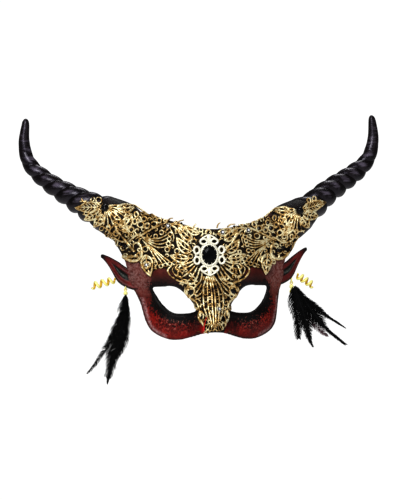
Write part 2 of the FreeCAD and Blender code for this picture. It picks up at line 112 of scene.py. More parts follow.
def remeshed(item, voxel, rounds):
    """One closed skin round everything in the mesh, with its edges softened."""
    wrap = item.modifiers.new("wrap", "REMESH")
    wrap.mode, wrap.voxel_size = "VOXEL", voxel * MM
    soft = item.modifiers.new("soft", "SMOOTH")
    soft.iterations, soft.factor = rounds, 0.5
    apply_modifiers(item)


def middle_of(node):
    """The middle of a CAD node's box in millimetres."""
    low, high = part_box(node)
    return (np.array(low) + np.array(high)) / 2 / MM


def spline(points, count, closed=False):
    """A smooth path through rows of numbers, sampled evenly by length."""
    knots = np.asarray(points, dtype=float)
    if closed:
        knots = np.vstack([knots[-1], knots, knots[0], knots[1]])
    else:
        knots = np.vstack([2 * knots[0] - knots[1], knots, 2 * knots[-1] - knots[-2]])
    fine = []
    for a, b, c, d in zip(knots, knots[1:], knots[2:], knots[3:]):
        for t in np.linspace(0, 1, 16, endpoint=False):
            fine.append(0.5 * (2 * b + (c - a) * t + (2 * a - 5 * b + 4 * c - d) * t * t
                               + (3 * b - a - 3 * c + d) * t ** 3))
    fine.append(knots[-2])
    fine = np.array(fine)
    lengths = np.linalg.norm(np.diff(fine[:, :3], axis=0), axis=1)
    along = np.concatenate([[0], np.cumsum(lengths)])
    at = np.linspace(0, along[-1], count)
    return np.stack([np.interp(at, along, fine[:, k]) for k in range(fine.shape[1])], axis=1)


def unit(vectors):
    """Rows scaled to length one."""
    return vectors / np.maximum(np.linalg.norm(vectors, axis=-1, keepdims=True), 1e-9)


def bell(distance, width):
    """One at no distance, falling smoothly to about a third at the width."""
    return np.exp(-(distance / width) ** 2)


def loop_faces(rows, around, start=0, ends=True):
    """Quads over stacked loops of points, with a flat face closing each end."""
    faces = []
    for i in range(rows - 1):
        for k in range(around):
            a, b = start + i * around + k, start + i * around + (k + 1) % around
            faces.append((a, b, b + around, a + around))
    if ends:
        faces.append(tuple(start + k for k in reversed(range(around))))
        faces.append(tuple(start + (rows - 1) * around + k for k in range(around)))
    return faces


def flip_faces(faces):
    """The same faces seen from the other side."""
    return [tuple(reversed(face)) for face in faces]


def mark(item, name, values):
    """Stores one number per point, for a material to read."""
    layer = item.data.attributes.new(name, "FLOAT", "POINT")
    layer.data.foreach_set("value", np.asarray(values, dtype=float))


def repaint(item, material):
    """Gives an object one material."""
    item.data.materials.clear()
    item.data.materials.append(material)


def dress(item, material, body, slot, *nodes):
    """Gives a piece its material and its body, and hides the CAD nodes that it stands for. The slot is not
    used.
    """
    repaint(item, material)
    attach(item, body)
    if nodes:
        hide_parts(*nodes)
    return item


# ------------------------------------------------------------------ materials
class Shading:
    """Short forms for the nodes of one material."""

    def __init__(self, name):
        self.material = bpy.data.materials.new(name)
        self.material.use_nodes = True
        self.tree = self.material.node_tree
        self.shader = self.tree.nodes["Principled BSDF"]
        self.place = self.node("ShaderNodeTexCoord").outputs["Object"]

    def node(self, kind, **settings):
        made = self.tree.nodes.new(kind)
        for key, value in settings.items():
            setattr(made, key, value)
        return made

    def link(self, source, target):
        self.tree.links.new(source, target)

    def set(self, **values):
        for key, value in values.items():
            self.shader.inputs[key.replace("_", " ")].default_value = value

    def noise(self, scale, detail=4.0, rough=0.55, stretch=None, distortion=0.0):
        made = self.node("ShaderNodeTexNoise")
        made.inputs["Scale"].default_value = scale
        made.inputs["Detail"].default_value = detail
        made.inputs["Roughness"].default_value = rough
        made.inputs["Distortion"].default_value = distortion
        source = self.place
        if stretch:
            mapping = self.node("ShaderNodeMapping")
            mapping.inputs["Scale"].default_value = stretch
            self.link(source, mapping.inputs["Vector"])
            source = mapping.outputs["Vector"]
        self.link(source, made.inputs["Vector"])
        return made.outputs["Fac"]

    def value(self, name):
        return self.node("ShaderNodeAttribute", attribute_name=name).outputs["Fac"]

    def ramp(self, source, *stops):
        """Stops are (position, colour); a plain number is a grey."""
        made = self.node("ShaderNodeValToRGB")
        ramp = made.color_ramp
        while len(ramp.elements) < len(stops):
            ramp.elements.new(0.5)
        for element, (at, colour) in zip(ramp.elements, stops):
            element.position = at
            element.color = (*colour, 1) if isinstance(colour, tuple) else (colour,) * 3 + (1,)
        self.link(source, made.inputs["Fac"])
        return made.outputs["Color"]

    def mix(self, share, low, high, kind="MIX"):
        """Blends two colours or sockets by a share that is a number or a socket."""
        made = self.node("ShaderNodeMix", data_type="RGBA", blend_type=kind)
        for socket, source in ((made.inputs[0], share), (made.inputs[6], low),
                               (made.inputs[7], high)):
            if isinstance(source, (int, float)):
                socket.default_value = source
            elif isinstance(source, tuple):
                socket.default_value = (*source, 1)
            else:
                self.link(source, socket)
        return made.outputs[2]

    def sum(self, first, second, kind="ADD"):
        made = self.node("ShaderNodeMath", operation=kind)
        for socket, source in zip(made.inputs, (first, second)):
            if isinstance(source, (int, float)):
                socket.default_value = source
            else:
                self.link(source, socket)
        return made.outputs[0]

    def times(self, first, second):
        return self.sum(first, second, "MULTIPLY")

    def bump(self, height, depth, strength=0.6):
        """Adds relief; depth is in metres. Later calls add to earlier ones."""
        made = self.node("ShaderNodeBump")
        made.inputs["Strength"].default_value = strength
        made.inputs["Distance"].default_value = depth
        self.link(height, made.inputs["Height"])
        normal = self.shader.inputs["Normal"]
        if normal.is_linked:
            self.link(normal.links[0].from_socket, made.inputs["Normal"])
        self.link(made.outputs["Normal"], normal)

    def colour(self, source):
        self.link(source, self.shader.inputs["Base Color"])

    def rough(self, source, low, high):
        """Roughness from low to high as the source goes from black to white."""
        self.link(self.ramp(source, (0.0, low), (1.0, high)), self.shader.inputs["Roughness"])


def shell_paint():
    """Sponged red-brown paint, sooty round the eyes, dusty temples, redder speckled cheeks."""
    s = Shading("sponged_paint")
    patches = s.noise(42, 5, 0.6)
    sponge = s.noise(420, 6, 0.75)
    speck = s.noise(480, 5, 0.75)
    base = s.ramp(patches, (0.30, (0.060, 0.014, 0.011)), (0.52, (0.15, 0.024, 0.017)),
                  (0.75, (0.27, 0.062, 0.046)))
    red = s.ramp(patches, (0.30, (0.12, 0.007, 0.004)), (0.52, (0.29, 0.012, 0.006)),
                 (0.75, (0.46, 0.034, 0.018)))
    coat = s.mix(s.value("cheek"), base, red)
    greying = s.times(s.value("temple"), s.ramp(sponge, (0.40, 0.0), (0.66, 0.9)))
    coat = s.mix(greying, coat, (0.40, 0.235, 0.215))
    spots = s.times(s.value("freckle"), s.ramp(speck, (0.47, 0.0), (0.55, 1.0)))
    coat = s.mix(spots, coat, (0.010, 0.004, 0.004))
    glints = s.times(s.value("freckle"), s.ramp(speck, (0.36, 0.9), (0.43, 0.0)))
    coat = s.mix(glints, coat, (0.58, 0.26, 0.20))
    # painted highlight: a pale pink line just inside the cheek's outer rim
    coat = s.mix(s.times(s.value("cheek_rim_highlight"), s.ramp(sponge, (0.4, 0.1), (0.6, 1.0))),
                 coat, (0.62, 0.42, 0.42))
    smoke = s.sum(s.value("soot"), s.sum(s.times(speck, 4.0), 2.0, "SUBTRACT"))
    coat = s.mix(s.ramp(smoke, (0.42, 0.0), (0.62, 1.0)), coat, (0.004, 0.003, 0.003))
    coat = s.mix(s.value("shade"), coat, (0.012, 0.005, 0.005))
    coat = s.mix(s.value("scarlet"), coat, (0.62, 0.012, 0.010))
    pit = s.ramp(sponge, (0.45, (0.004, 0.003, 0.002)), (0.75, (0.06, 0.032, 0.012)))
    coat = s.mix(s.value("ground"), coat, pit)
    black = s.ramp(patches, (0.35, (0.007, 0.005, 0.005)), (0.75, (0.035, 0.026, 0.028)))
    coat = s.mix(s.value("horny"), coat, black)
    s.colour(coat)
    s.rough(sponge, 0.34, 0.60)
    s.set(Specular_IOR_Level=0.3)
    s.bump(sponge, 0.0007)
    s.bump(patches, 0.0016, 0.4)
    return s.material


def horn_lacquer():
    """Black-brown lacquer, with a lavender-grey painted highlight on the crests of the ridges, and greyer
    on its underside near the root.
    """
    s = Shading("horn_lacquer")
    mottled = s.noise(95, 6, 0.65)
    fine = s.noise(700, 4, 0.7)
    streaks = s.noise(60, 5, 0.7, stretch=(1, 1, 5), distortion=0.6)
    base = s.ramp(mottled, (0.32, (0.004, 0.003, 0.003)), (0.60, (0.011, 0.007, 0.0065)),
                  (0.80, (0.030, 0.018, 0.018)))
    # painted highlight on the crests of the ridges
    crest_highlight = s.ramp(s.times(s.value("crest"), streaks), (0.42, 0.0), (0.64, 0.75))
    coat = s.mix(crest_highlight, base, (0.19, 0.165, 0.215))
    # greyer on the underside near the root
    greying = s.ramp(s.times(s.value("under"), mottled), (0.25, 0.0), (0.55, 0.7))
    s.colour(s.mix(greying, coat, (0.16, 0.125, 0.13)))
    s.rough(mottled, 0.28, 0.42)
    s.set(Specular_IOR_Level=0.5, Specular_Tint=(0.82, 0.76, 1.0, 1))
    s.set(Coat_Weight=0.35, Coat_Roughness=0.22)
    s.bump(fine, 0.0004)
    s.bump(mottled, 0.0014, 0.5)
    return s.material


PAINT = shell_paint()
LACQUER = horn_lacquer()


# ------------------------------------------------------------------ the horns' line
# centre line and radius from the buried root to the tip, on the +X side, as the frame has it
HORN_LINE = [
    (64, 20, 68, 12.0), (75, 14.5, 74, 18.0), (86, 12, 80, 21.0), (98, 14, 86, 19.6),
    (113.4, 21, 93.5, 16.4), (125.6, 30, 101.5, 14.3), (138.9, 40, 110, 12.2),
    (152.1, 49, 119, 10.6), (164.5, 57, 128.8, 9.3), (175.2, 63, 139.4, 8.0),
    (182.3, 67, 152, 6.9), (185.2, 69, 169, 5.6), (184.0, 70, 186, 3.9), (183.6, 70, 190.6, 2.7),
    (183.4, 70, 192.6, 0.8)]
HORN_ROWS, HORN_SIDES = 420, 72
HORN_PITCH = 19.0
HORN_STARTS = 2
HORN_GROOVE = 0.25
# the ridged horn starts at one x inside the skin's sleeve, which ends at another
HORN_FOOT = 88.0
SLEEVE_END = 112.0


def section_frames(path):
    """Two unit directions square to a path at each of its points."""
    tangent = unit(np.gradient(path[:, :3], axis=0))
    across = [np.cross(tangent[0], (0, 0, 1))]
    for direction in tangent[1:]:
        across.append(across[-1] - direction * np.dot(across[-1], direction))
    across = unit(np.array(across))
    return across, unit(np.cross(across, tangent))


def horn_rings(path, across, up, radius, angle, sign):
    """Points round a path: a radius for each row and angle, on the left or the right."""
    points = (path[:, None, :3] + across[:, None] * (radius * np.cos(angle))[..., None]
              + up[:, None] * (radius * np.sin(angle))[..., None]).reshape(-1, 3)
    points[:, 0] *= sign
    faces = loop_faces(len(path), len(angle))
    return points, faces if sign < 0 else flip_faces(faces)


# how far the brow and horns are raised at each x, because the mask was shaped by hand
UNEVEN = [(-185, -0.6), (-125, 0.5), (-101, 2.4), (-80, 1.5), (-66, 2.0), (-51, 3.0), (-30, 3.4),
          (-12, 0.5), (12, -0.8), (30, -1.2), (51, -2.8), (72, -4.0), (90, -3.0), (101, -2.2),
          (112, 0), (122, 2.6), (140, 4.0), (154, 3.0), (185, -1.5)]
TIPS_SHIFT = 1.7


def uneven(points):
    """Sets the brow and horns a little unlike from side to side, as the hand-made mask is."""
    moved = np.array(points, dtype=float)
    x, z = moved[:, 0], moved[:, 2]
    lift = np.interp(x, *np.array(UNEVEN).T) * np.clip((z - 48) / 22, 0, 1)
    moved[:, 0] += TIPS_SHIFT * np.clip((z - 135) / 50, 0, 1)
    moved[:, 2] += lift
    return moved


def horn_mesh(side, sign):
    """A ridged horn: rounded ridges wind round it and fade into the smooth tip."""
    path = spline(HORN_LINE, HORN_ROWS)
    path = path[(path[:, 0] > HORN_FOOT) | (path[:, 2] > 120)]
    across, up = section_frames(path)
    steps = np.linalg.norm(np.diff(path[:, :3], axis=0), axis=1)
    along = np.concatenate([[0], np.cumsum(steps)])
    angle = np.linspace(0, 2 * np.pi, HORN_SIDES, endpoint=False)
    share = along / along[-1]
    fade = np.clip((0.86 - share) / 0.22, 0, 1)[:, None]
    tightening = along[:, None] * (1 + 0.12 * share[:, None])
    phase = tightening / HORN_PITCH + HORN_STARTS * angle[None, :] / (2 * np.pi)
    wave = np.abs(np.sin(np.pi * phase))
    crest = wave ** 0.8
    wrinkle = 0.006 * np.sin(26 * np.pi * phase) * wave
    height = up[:, 2:3] * np.sin(angle) + across[:, 2:3] * np.cos(angle)
    below = np.clip(-1.6 * height - 0.5, 0, 1)
    swell = 1.02 - HORN_GROOVE * fade * (0.8 + 0.2 * below) * (1 - crest) + wrinkle * fade
    lumpy = np.array([[noise.noise(Vector((s * 9, math.cos(a), math.sin(a) + sign)))
                       for a in angle] for s in share])
    radius = path[:, 3][:, None] * swell * (1 + 0.035 * lumpy)
    radius *= np.clip(0.80 + along / 60, 0, 1)[:, None]
    points, faces = horn_rings(path, across, up, radius, angle, sign)
    item = mesh_object(side + "_horn_ridged", uneven(points), faces)
    # the painted highlight lies on the ridges' crests, most on their upper side, and over the smooth tip
    upper = bell(height - 0.35, 0.45)
    mark(item, "crest", ((crest * fade + 0.85 * (1 - fade)) * (0.55 + 0.6 * upper)).ravel())
    # where the horn is greyer: its underside near the root
    mark(item, "under", (below * np.clip((0.55 - share) / 0.3, 0, 1)[:, None]).ravel())
    return dress(item, LACQUER, "mask", "lacquered_horn", side + "_horn")


horns = [horn_mesh(side, sign) for side, sign in SIDES]


# ------------------------------------------------------------------ the painted skin
# outlines as x, z on the +X side: the shell's lower edge with points past it, and an eye opening
SHELL_LOW_EDGE = [(82, 25), (79, 10), (73.5, -2), (70, -18), (65, -30.5), (54, -38.7), (42, -42.4),
                  (27, -40.5), (14, -36.5), (30, -43), (60, -40), (78, -20), (90, 10)]
EYE_EDGE = [(59.5, 13), (52, 13.2), (37, 12.8), (29.5, 7), (21.5, -3), (18.2, -12.3), (24, -14),
            (31, -14.8), (43, -13), (52, -5), (57.5, 4)]
SKIN_VOXEL = 1.15
SKIN_ROUNDS = 7
# how far the lower face leans towards +X, what its -X cheek adds, and how far the ears' roots tuck in
LEAN, LEAN_MORE, TUCK = 3.3, 1.5, 2.2


def sleeve(sign):
    """The swelling that carries the shell's skin a little way up the horn."""
    path = spline(HORN_LINE, 220)
    path = path[path[:, 0] < SLEEVE_END]
    taper = np.clip((SLEEVE_END - path[:, 0]) / 10, 0, 1)
    radius = (path[:, 3] * (0.86 + 0.15 * taper ** 0.5))[:, None]
    angle = np.linspace(0, 2 * np.pi, 40, endpoint=False)
    return horn_rings(path, *section_frames(path), radius, angle, sign)


def edge_distance(points, outline):
    """Distance in x and z from points to a closed outline."""
    ring = spline(outline, 90, closed=True)[:, :2]
    flat = points[:, [0, 2]]
    flat = np.abs(flat) * [1, 0] + flat * [0, 1]
    return np.min(np.linalg.norm(flat[:, None, :] - ring[None], axis=2), axis=1)


def skin_mesh():
    """The shell and the swellings at the horns' roots under one skin."""
    source = NODES["mask_shell"]
    points, faces = points_of(source).tolist(), [tuple(p.vertices) for p in source.data.polygons]
    for _, sign in SIDES:
        ring, quads = sleeve(sign)
        start = len(points)
        points += ring.tolist()
        faces += [tuple(start + i for i in quad) for quad in quads]
    item = mesh_object("shell_skin", points, faces)
    remeshed(item, SKIN_VOXEL, SKIN_ROUNDS)
    return item


def leaning(points):
    """Shifts the lower face a little towards +X, because the mask was modelled by hand."""
    moved = uneven(points)
    x, z = moved[:, 0], moved[:, 2]
    low = np.clip((34 - z) / 34, 0, 1)
    low = low * low * (3 - 2 * low)
    inner = np.clip((84 - np.abs(x)) / 16, 0, 1)
    moved[:, 0] += low * inner * (LEAN + LEAN_MORE * np.clip(-x / 50, 0, 1))
    moved[:, 0] -= np.sign(x) * TUCK * np.clip((np.abs(x) - 58) / 16, 0, 1) * bell(z - 9, 9)
    return moved


skin = skin_mesh()
place = points_of(skin)
out = normals_of(skin)
side_x, up_z = np.abs(place[:, 0]), place[:, 2]
facing = np.clip(-out[:, 1] * 1.5, 0, 1)
rim = edge_distance(place, EYE_EDGE)
outer_rim = edge_distance(place, SHELL_LOW_EDGE)
# rolled rims round the eyes, the wings of the nose, and the lumps of a hand-made shell
relief = 1.3 * bell(rim - 3.2, 2.6) * facing
relief += 1.6 * bell(side_x - 20, 5) * bell(up_z + 27, 12) * facing
relief += 0.5 * np.array([noise.noise(Vector(p * 0.06)) for p in place]) * facing
under_eye = np.clip((6 - up_z) / 12, 0, 1)
high = np.clip((up_z - 2) / 16, 0, 1)
move_points(skin, leaning(place + out * relief[:, None]))
# where each coat of paint lies, and where painted shade and a painted highlight lie; the back is as black
# as the rims of the eyes
soot = 1.35 * bell(rim, 4.6 + 7.6 * under_eye) + 0.9 * (out[:, 1] > 0.2)
mark(skin, "soot", np.clip(soot, 0, 1.3))
# the painted highlight lies just inside the cheek's outer rim, low on the face
mark(skin, "cheek_rim_highlight", bell(outer_rim - 2.6, 1.5) * (up_z < 2) * (side_x > 48))
mark(skin, "cheek", np.clip((4 - up_z) / 16, 0, 1))
mark(skin, "temple", np.clip((side_x - 55) / 16, 0, 1) * high)
mark(skin, "freckle", bell(up_z + 24, 11) * bell(side_x - 40, 22))
# painted shade: along the cheek's outer rim, under the brow above the eyes, beside the nose, and over the
# whole +X cheek
shade = 0.85 * bell(outer_rim, 2.2) * (1 - high)
shade += 0.92 * bell(rim, 13) * high * (side_x < 60)
shade += 0.7 * bell(side_x - 17, 7) * bell(up_z + 27, 11)
shade += 0.25 * (place[:, 0] > 20) * (1 - high)
mark(skin, "shade", shade)
scarlet = 0.95 * bell(np.hypot(place[:, 0] + 8.5, up_z + 31.5), 4.2)
mark(skin, "scarlet", scarlet * (out[:, 1] < 0))
mark(skin, "horny", np.clip((side_x - 62) / 10, 0, 1) * np.clip((up_z - 46) / 8, 0, 1))
dress(skin, PAINT, "mask", "painted_shell", "mask_shell")


# ------------------------------------------------------------------ gilt lace
# where the medallion's plate lies against its post
PLATE_BACK = (0.0, -45.6, 45.5)
# the lace's outline and the x past which it is a horn's, as x, z on the +X side
LACE_EDGE = [
    (0, 73.2), (22, 75.2), (42, 80), (58, 86), (76, 91.5), (90, 95.5), (104, 99.5), (116, 103),
    (130, 102), (134, 98), (127, 92), (123, 87), (113, 79.5), (105, 69), (96, 59.5), (86, 45.5),
    (71, 39), (66, 30), (61.5, 23.5), (56, 30), (49, 33.5), (40, 29.5), (34, 21), (28, 10.5),
    (20, -4), (15.5, -17), (10, -35.5), (0, -35.5)]
HORN_SIDE_X = 76.0


def inside(x, z):
    """Whether a place lies inside the lace's outline, mirrored on both sides."""
    x, hit = abs(x), False
    for (x0, z0), (x1, z1) in zip(LACE_EDGE, LACE_EDGE[1:] + LACE_EDGE[:1]):
        if (z0 > z) != (z1 > z) and x < x0 + (z - z0) * (x1 - x0) / (z1 - z0):
            hit = not hit
    return hit


class Surface:
    """Finds the front of the mask at x, z."""

    def __init__(self, *items):
        points, faces = [], []
        for item in items:
            start = len(points)
            points += [v.co.copy() for v in item.data.vertices]
            faces += [[start + i for i in p.vertices] for p in item.data.polygons]
        self.tree = BVHTree.FromPolygons(points, faces)

    def at(self, x, z):
        """The place and the normal there; past the outline, those of the nearest place."""
        hit, normal, _, _ = self.tree.ray_cast(Vector((x * MM, -0.3, z * MM)), Vector((0, 1, 0)))
        if hit is None:
            hit, normal, _, _ = self.tree.find_nearest(Vector((x * MM, -0.03, z * MM)))
        if normal.y > 0:
            normal = -normal
        return tuple(hit / MM), tuple(normal)

    def line(self, flat, lift):
        """A flat line laid on the mask and raised off it, with its normals, both smoothed."""
        found = [self.at(x, z) for x, z in flat]
        points = np.array([f[0] for f in found])
        normals = np.array([f[1] for f in found])
        if len(points) > 4:
            for _ in range(2):
                normals[1:-1] = unit(normals[:-2] + normals[1:-1] + normals[2:])
                points[1:-1, 1] = (points[:-2, 1] + 2 * points[1:-1, 1] + points[2:, 1]) / 4
        return points + normals * np.broadcast_to(lift, len(points))[:, None], normals


class Cords:
    """Many cords, turned shapes and stones gathered into one mesh."""

    def __init__(self):
        self.points, self.faces, self.tops, self.count = [], [], [], 0

    def take(self, points, faces, tops=1.0):
        """Adds a closed shape; tops says how much each point faces out, for the painted highlight and
        painted shade of gilding and metal.
        """
        points = np.asarray(points, dtype=float).reshape(-1, 3)
        self.faces += [tuple(self.count + i for i in face) for face in faces]
        self.points.append(points)
        self.tops.append(np.broadcast_to(tops, len(points)))
        self.count += len(points)

    def add(self, line, radius, normals, sides=6, flat=1.0, closed=False, shine=0.0):
        """A cord along a line; the normals say which way its flattened top looks."""
        line = np.asarray(line, dtype=float)
        rows = len(line)
        run = np.roll(line, -1, 0) - np.roll(line, 1, 0) if closed else np.gradient(line, axis=0)
        tangent = unit(run)
        across = unit(np.cross(tangent, normals))
        up = unit(np.cross(across, tangent))
        angle = np.linspace(0, 2 * np.pi, sides, endpoint=False)
        radius = np.broadcast_to(radius, rows)[:, None, None]
        ring = line[:, None] + radius * (across[:, None] * np.cos(angle)[None, :, None]
                                         + up[:, None] * (flat * np.sin(angle))[None, :, None])
        faces = loop_faces(rows, sides, ends=not closed)
        if closed:
            last = (rows - 1) * sides
            faces += [(last + k, last + (k + 1) % sides, (k + 1) % sides, k) for k in range(sides)]
        # tops run from one on the face that turns out to minus one under it, for painted highlight and
        # painted shade
        self.take(ring, faces, np.tile(np.sin(angle), rows) + shine)

    def turned(self, profile, centre, axis, sides=20, wide=1.0, tall=1.0, tops=1.0):
        """A turned shape; profile rows are distance along the axis and radius."""
        axis = unit(np.asarray(axis, dtype=float))
        across = unit(np.cross(UP if abs(axis[2]) < 0.9 else (1.0, 0.0, 0.0), axis))
        up = np.cross(axis, across)
        angle = np.linspace(0, 2 * np.pi, sides, endpoint=False)
        rim = across * wide * np.cos(angle)[:, None] + up * tall * np.sin(angle)[:, None]
        rings = [np.asarray(centre) + axis * d + rim * r for d, r in profile]
        rows = np.repeat(tops, sides) if np.ndim(tops) else tops
        self.take(np.array(rings), flip_faces(loop_faces(len(profile), sides)), rows)

    def build(self, name, smooth=True):
        """The mesh object of everything gathered so far."""
        item = mesh_object(name, np.vstack(self.points), self.faces, smooth)
        mark(item, "top", np.concatenate(self.tops))
        return item


def sweep_of(points, spacing=0.9, closed=False):
    """A flat smooth line through x, z points, sampled closely."""
    knots = [(x, z, 0.0) for x, z in points]
    rough = sum(math.dist(a, b) for a, b in zip(points, points[1:]))
    return spline(knots, max(5, int(rough / spacing)), closed)[:, :2]


CORD_SCALE = 1.22
# where the motifs round a horn's bead meet, in the pattern
BEAD_HUB = (104.5, 93.5)


class Pattern:
    """Flat strokes of the lace, as a line, a radius, a height and a taper, and its stones."""

    def __init__(self, sign):
        self.sign, self.strokes, self.stones = sign, [], []

    def stroke(self, points, radius=0.6, lift=0.5, taper=True, closed=False):
        """A cord through places that are given as if on the +X side."""
        line = sweep_of(points, 0.9, closed) * [self.sign, 1]
        self.strokes.append((line, radius * CORD_SCALE, lift, taper))

    def ring(self, x, z, size, radius=0.5, lift=0.6):
        """A round loop."""
        angle = np.linspace(0, 2 * math.pi, 9)[:-1]
        ring = [(x + size * math.cos(a), z + size * math.sin(a)) for a in angle]
        self.stroke(ring, radius, lift, False, closed=True)

    def curl(self, x, z, size, start, turns=1.4, radius=0.6, lift=0.7):
        """A scroll that winds in from its rim to its middle."""
        steps = int(9 * turns)
        points = []
        for i in range(steps + 1):
            share = i / steps
            angle = start + 2 * math.pi * turns * share
            reach = size * (1 - 0.8 * share)
            points.append((x + reach * math.cos(angle), z + reach * math.sin(angle)))
        self.stroke(points, radius, lift)

    def fan(self, x, z, first, last, near, far, ribs, radius=0.62, lift=0.9, curve=0.0):
        """Ribs that spread from a centre, joined at their ends by scallops."""
        ends = []
        for i in range(ribs):
            angle = math.radians(first + (last - first) * i / (ribs - 1))
            reach = far * (1 - 0.16 * abs(2 * i / (ribs - 1) - 1))
            line = []
            for share in (0, 0.35, 0.7, 1):
                r = near + (reach - near) * share
                turn = angle + curve * share * share
                line.append((x + r * math.cos(turn), z + r * math.sin(turn)))
            self.stroke(line, radius, lift)
            ends.append((line[-1], angle + curve))
        for (a, turn_a), (b, turn_b) in zip(ends, ends[1:]):
            turn = (turn_a + turn_b) / 2
            gap = 0.45 * math.dist(a, b)
            middle = ((a[0] + b[0]) / 2 + gap * math.cos(turn),
                      (a[1] + b[1]) / 2 + gap * math.sin(turn))
            self.stroke([a, middle, b], radius * 1.05, lift, False)

    def leaf(self, x, z, angle, length, width, bend=0.25, ribs=5, radius=0.55, lift=0.9):
        """A pointed leaf: two rims, a midrib and slanting veins."""

        def at(share, side):
            turn = math.radians(angle) + bend * share
            half = width * math.sin(math.pi * min(1, share * 1.02) ** 0.8) / 2 * side
            return (x + length * share * math.cos(turn) - half * math.sin(turn),
                    z + length * share * math.sin(turn) + half * math.cos(turn))

        shares = np.linspace(0, 1, 7)
        for side in (-1, 1):
            self.stroke([at(s, side) for s in shares], radius * 1.25, lift)
        self.stroke([at(s, 0) for s in shares], radius, lift + 0.15)
        for i in range(ribs):
            share = 0.12 + 0.7 * i / ribs
            for side in (-1, 1):
                vein = [at(share, 0), at(share + 0.07, 0.5 * side),
                        at(min(1, share + 0.17), 0.92 * side)]
                self.stroke(vein, radius * 0.7, lift - 0.1)


def brow_pattern(sign):
    """The motifs of one side, from the medallion out to the horn."""
    p = Pattern(sign)
    # scallop shells under the medallion, and the small leaves round it
    p.fan(6, 44, -86, -24, 11, 32, 6, 0.95, 1.2, 0.12)
    p.stroke([(37, 35), (42, 30), (38, 23.5), (29, 18.5), (20, 16.5), (13, 19)], 1.1, 1.1)
    p.stroke([(34, 35), (37.5, 30.5), (34.5, 25), (27.5, 21), (20, 19.5)], 0.7, 0.9)
    p.leaf(17, 50, 8, 20, 9, 0.55, 3, 0.8)
    p.leaf(16, 61, 30, 19, 8, 0.15, 3, 0.8)
    p.leaf(9, 68, 6, 17, 6.5, 0.25, 3, 0.7)
    p.leaf(20, 42, -6, 20, 8, 0.3, 3, 0.8)
    # parallel ribs that sweep from the temple hub towards the medallion and the eye
    for i in range(4):
        p.stroke([(68 - i, 65.5 - 0.5 * i), (59 - i, 57.5 + 1.4 * i), (50 - i, 53.5 + 3.0 * i),
                  (41 - i, 54.5 + 4.2 * i)], 0.8, 1.2)
        p.stroke([(66 - 1.4 * i, 61 - 1.2 * i), (59 - 2.7 * i, 52 - 1.0 * i),
                  (54 - 3.7 * i, 43 - 0.3 * i), (50.5 - 4.4 * i, 34.5 + 1.2 * i)], 0.8, 1.1)
    for i in range(3):
        p.ring(40.4 - i, 56.8 + 4.2 * i, 2.0, 0.75, 1.2)
        p.ring(48.2 - 4.4 * i, 34.4 + 1.2 * i, 2.0, 0.75, 1.1)
    p.stroke([(73, 62), (64, 67), (56, 71), (46, 75), (41, 77)], 1.15, 1.3)
    p.stroke([(41, 76), (33, 71), (27, 63), (23, 57)], 1.0, 1.2)
    p.stroke([(41, 76), (37, 68), (35, 63), (36, 58)], 0.75, 1.0)
    p.stroke([(41, 76), (30, 74), (21, 71), (12, 71)], 1.0, 1.2)
    # pendant over the outer eye
    p.leaf(63, 47, -96, 23, 11, -0.05, 2, 0.95, 1.2)
    p.ring(62, 36, 3.6, 1.0, 1.3)
    p.curl(56.5, 40, 3.6, 0.5, 1.2, 0.95)
    p.curl(69, 43, 3.4, 2.2, 1.2, 0.95)
    # the deep scroll at the temple, with its beaded channel
    p.stroke([(104, 68), (97, 58.5), (89, 48.5), (80, 41.5), (71.5, 41), (67, 46), (67.2, 54),
              (71, 58.5), (75, 56.5), (74.5, 53)], 1.5, 1.3)
    p.stroke([(102, 73), (95, 65), (88, 61.5), (80, 59.5), (76.5, 62), (72, 65.5), (66, 66.5)], 1.3, 1.3)
    # rings and gems along the top edge
    for x, z, size in ((54, 75.5, 2.9), (61, 74.5, 2.8), (67.5, 76.5, 3.1), (74, 80, 2.8),
                       (64, 82, 2.6), (72, 87, 2.6), (49, 79, 2.3)):
        p.ring(x, z, size, 0.95, 1.2)
        p.stones.append((x, z, size * 0.72))
    # the ribbed leaf and lobes that point out along the horn from its bead, and the inner fan
    p.leaf(106.8, 94.3, 2, 27, 9.5, 0.04, 6, 0.85, 1.2)
    p.leaf(107.2, 90.8, -28, 19, 9, 0.1, 4, 0.85, 1.2)
    p.leaf(106, 87, -62, 15, 8, 0.1, 3, 0.85, 1.1)
    p.fan(*BEAD_HUB, 168, 266, 3.2, 22, 8, 0.85, 1.2, 0.12)
    p.leaf(90, 73, 158, 20, 10, -0.5, 3, 0.9)
    p.leaf(97, 79, 190, 20, 9, 0.4, 3, 0.9)
    p.leaf(93, 93, 184, 22, 8, -0.2, 3, 0.9)
    p.curl(83, 67, 5.2, 3.6, 1.5, 1.1)
    p.curl(82, 85, 4.6, 1.2, 1.4, 1.05)
    p.curl(95, 86, 4.2, 5.2, 1.3, 1.0)
    for x, z, size in ((93, 68, 2.5), (100, 73, 2.3), (87, 78, 2.6), (78, 72, 2.7), (108, 80, 2.2)):
        p.ring(x, z, size, 0.95, 1.2)
        p.stones.append((x, z, size * 0.7))
    return p


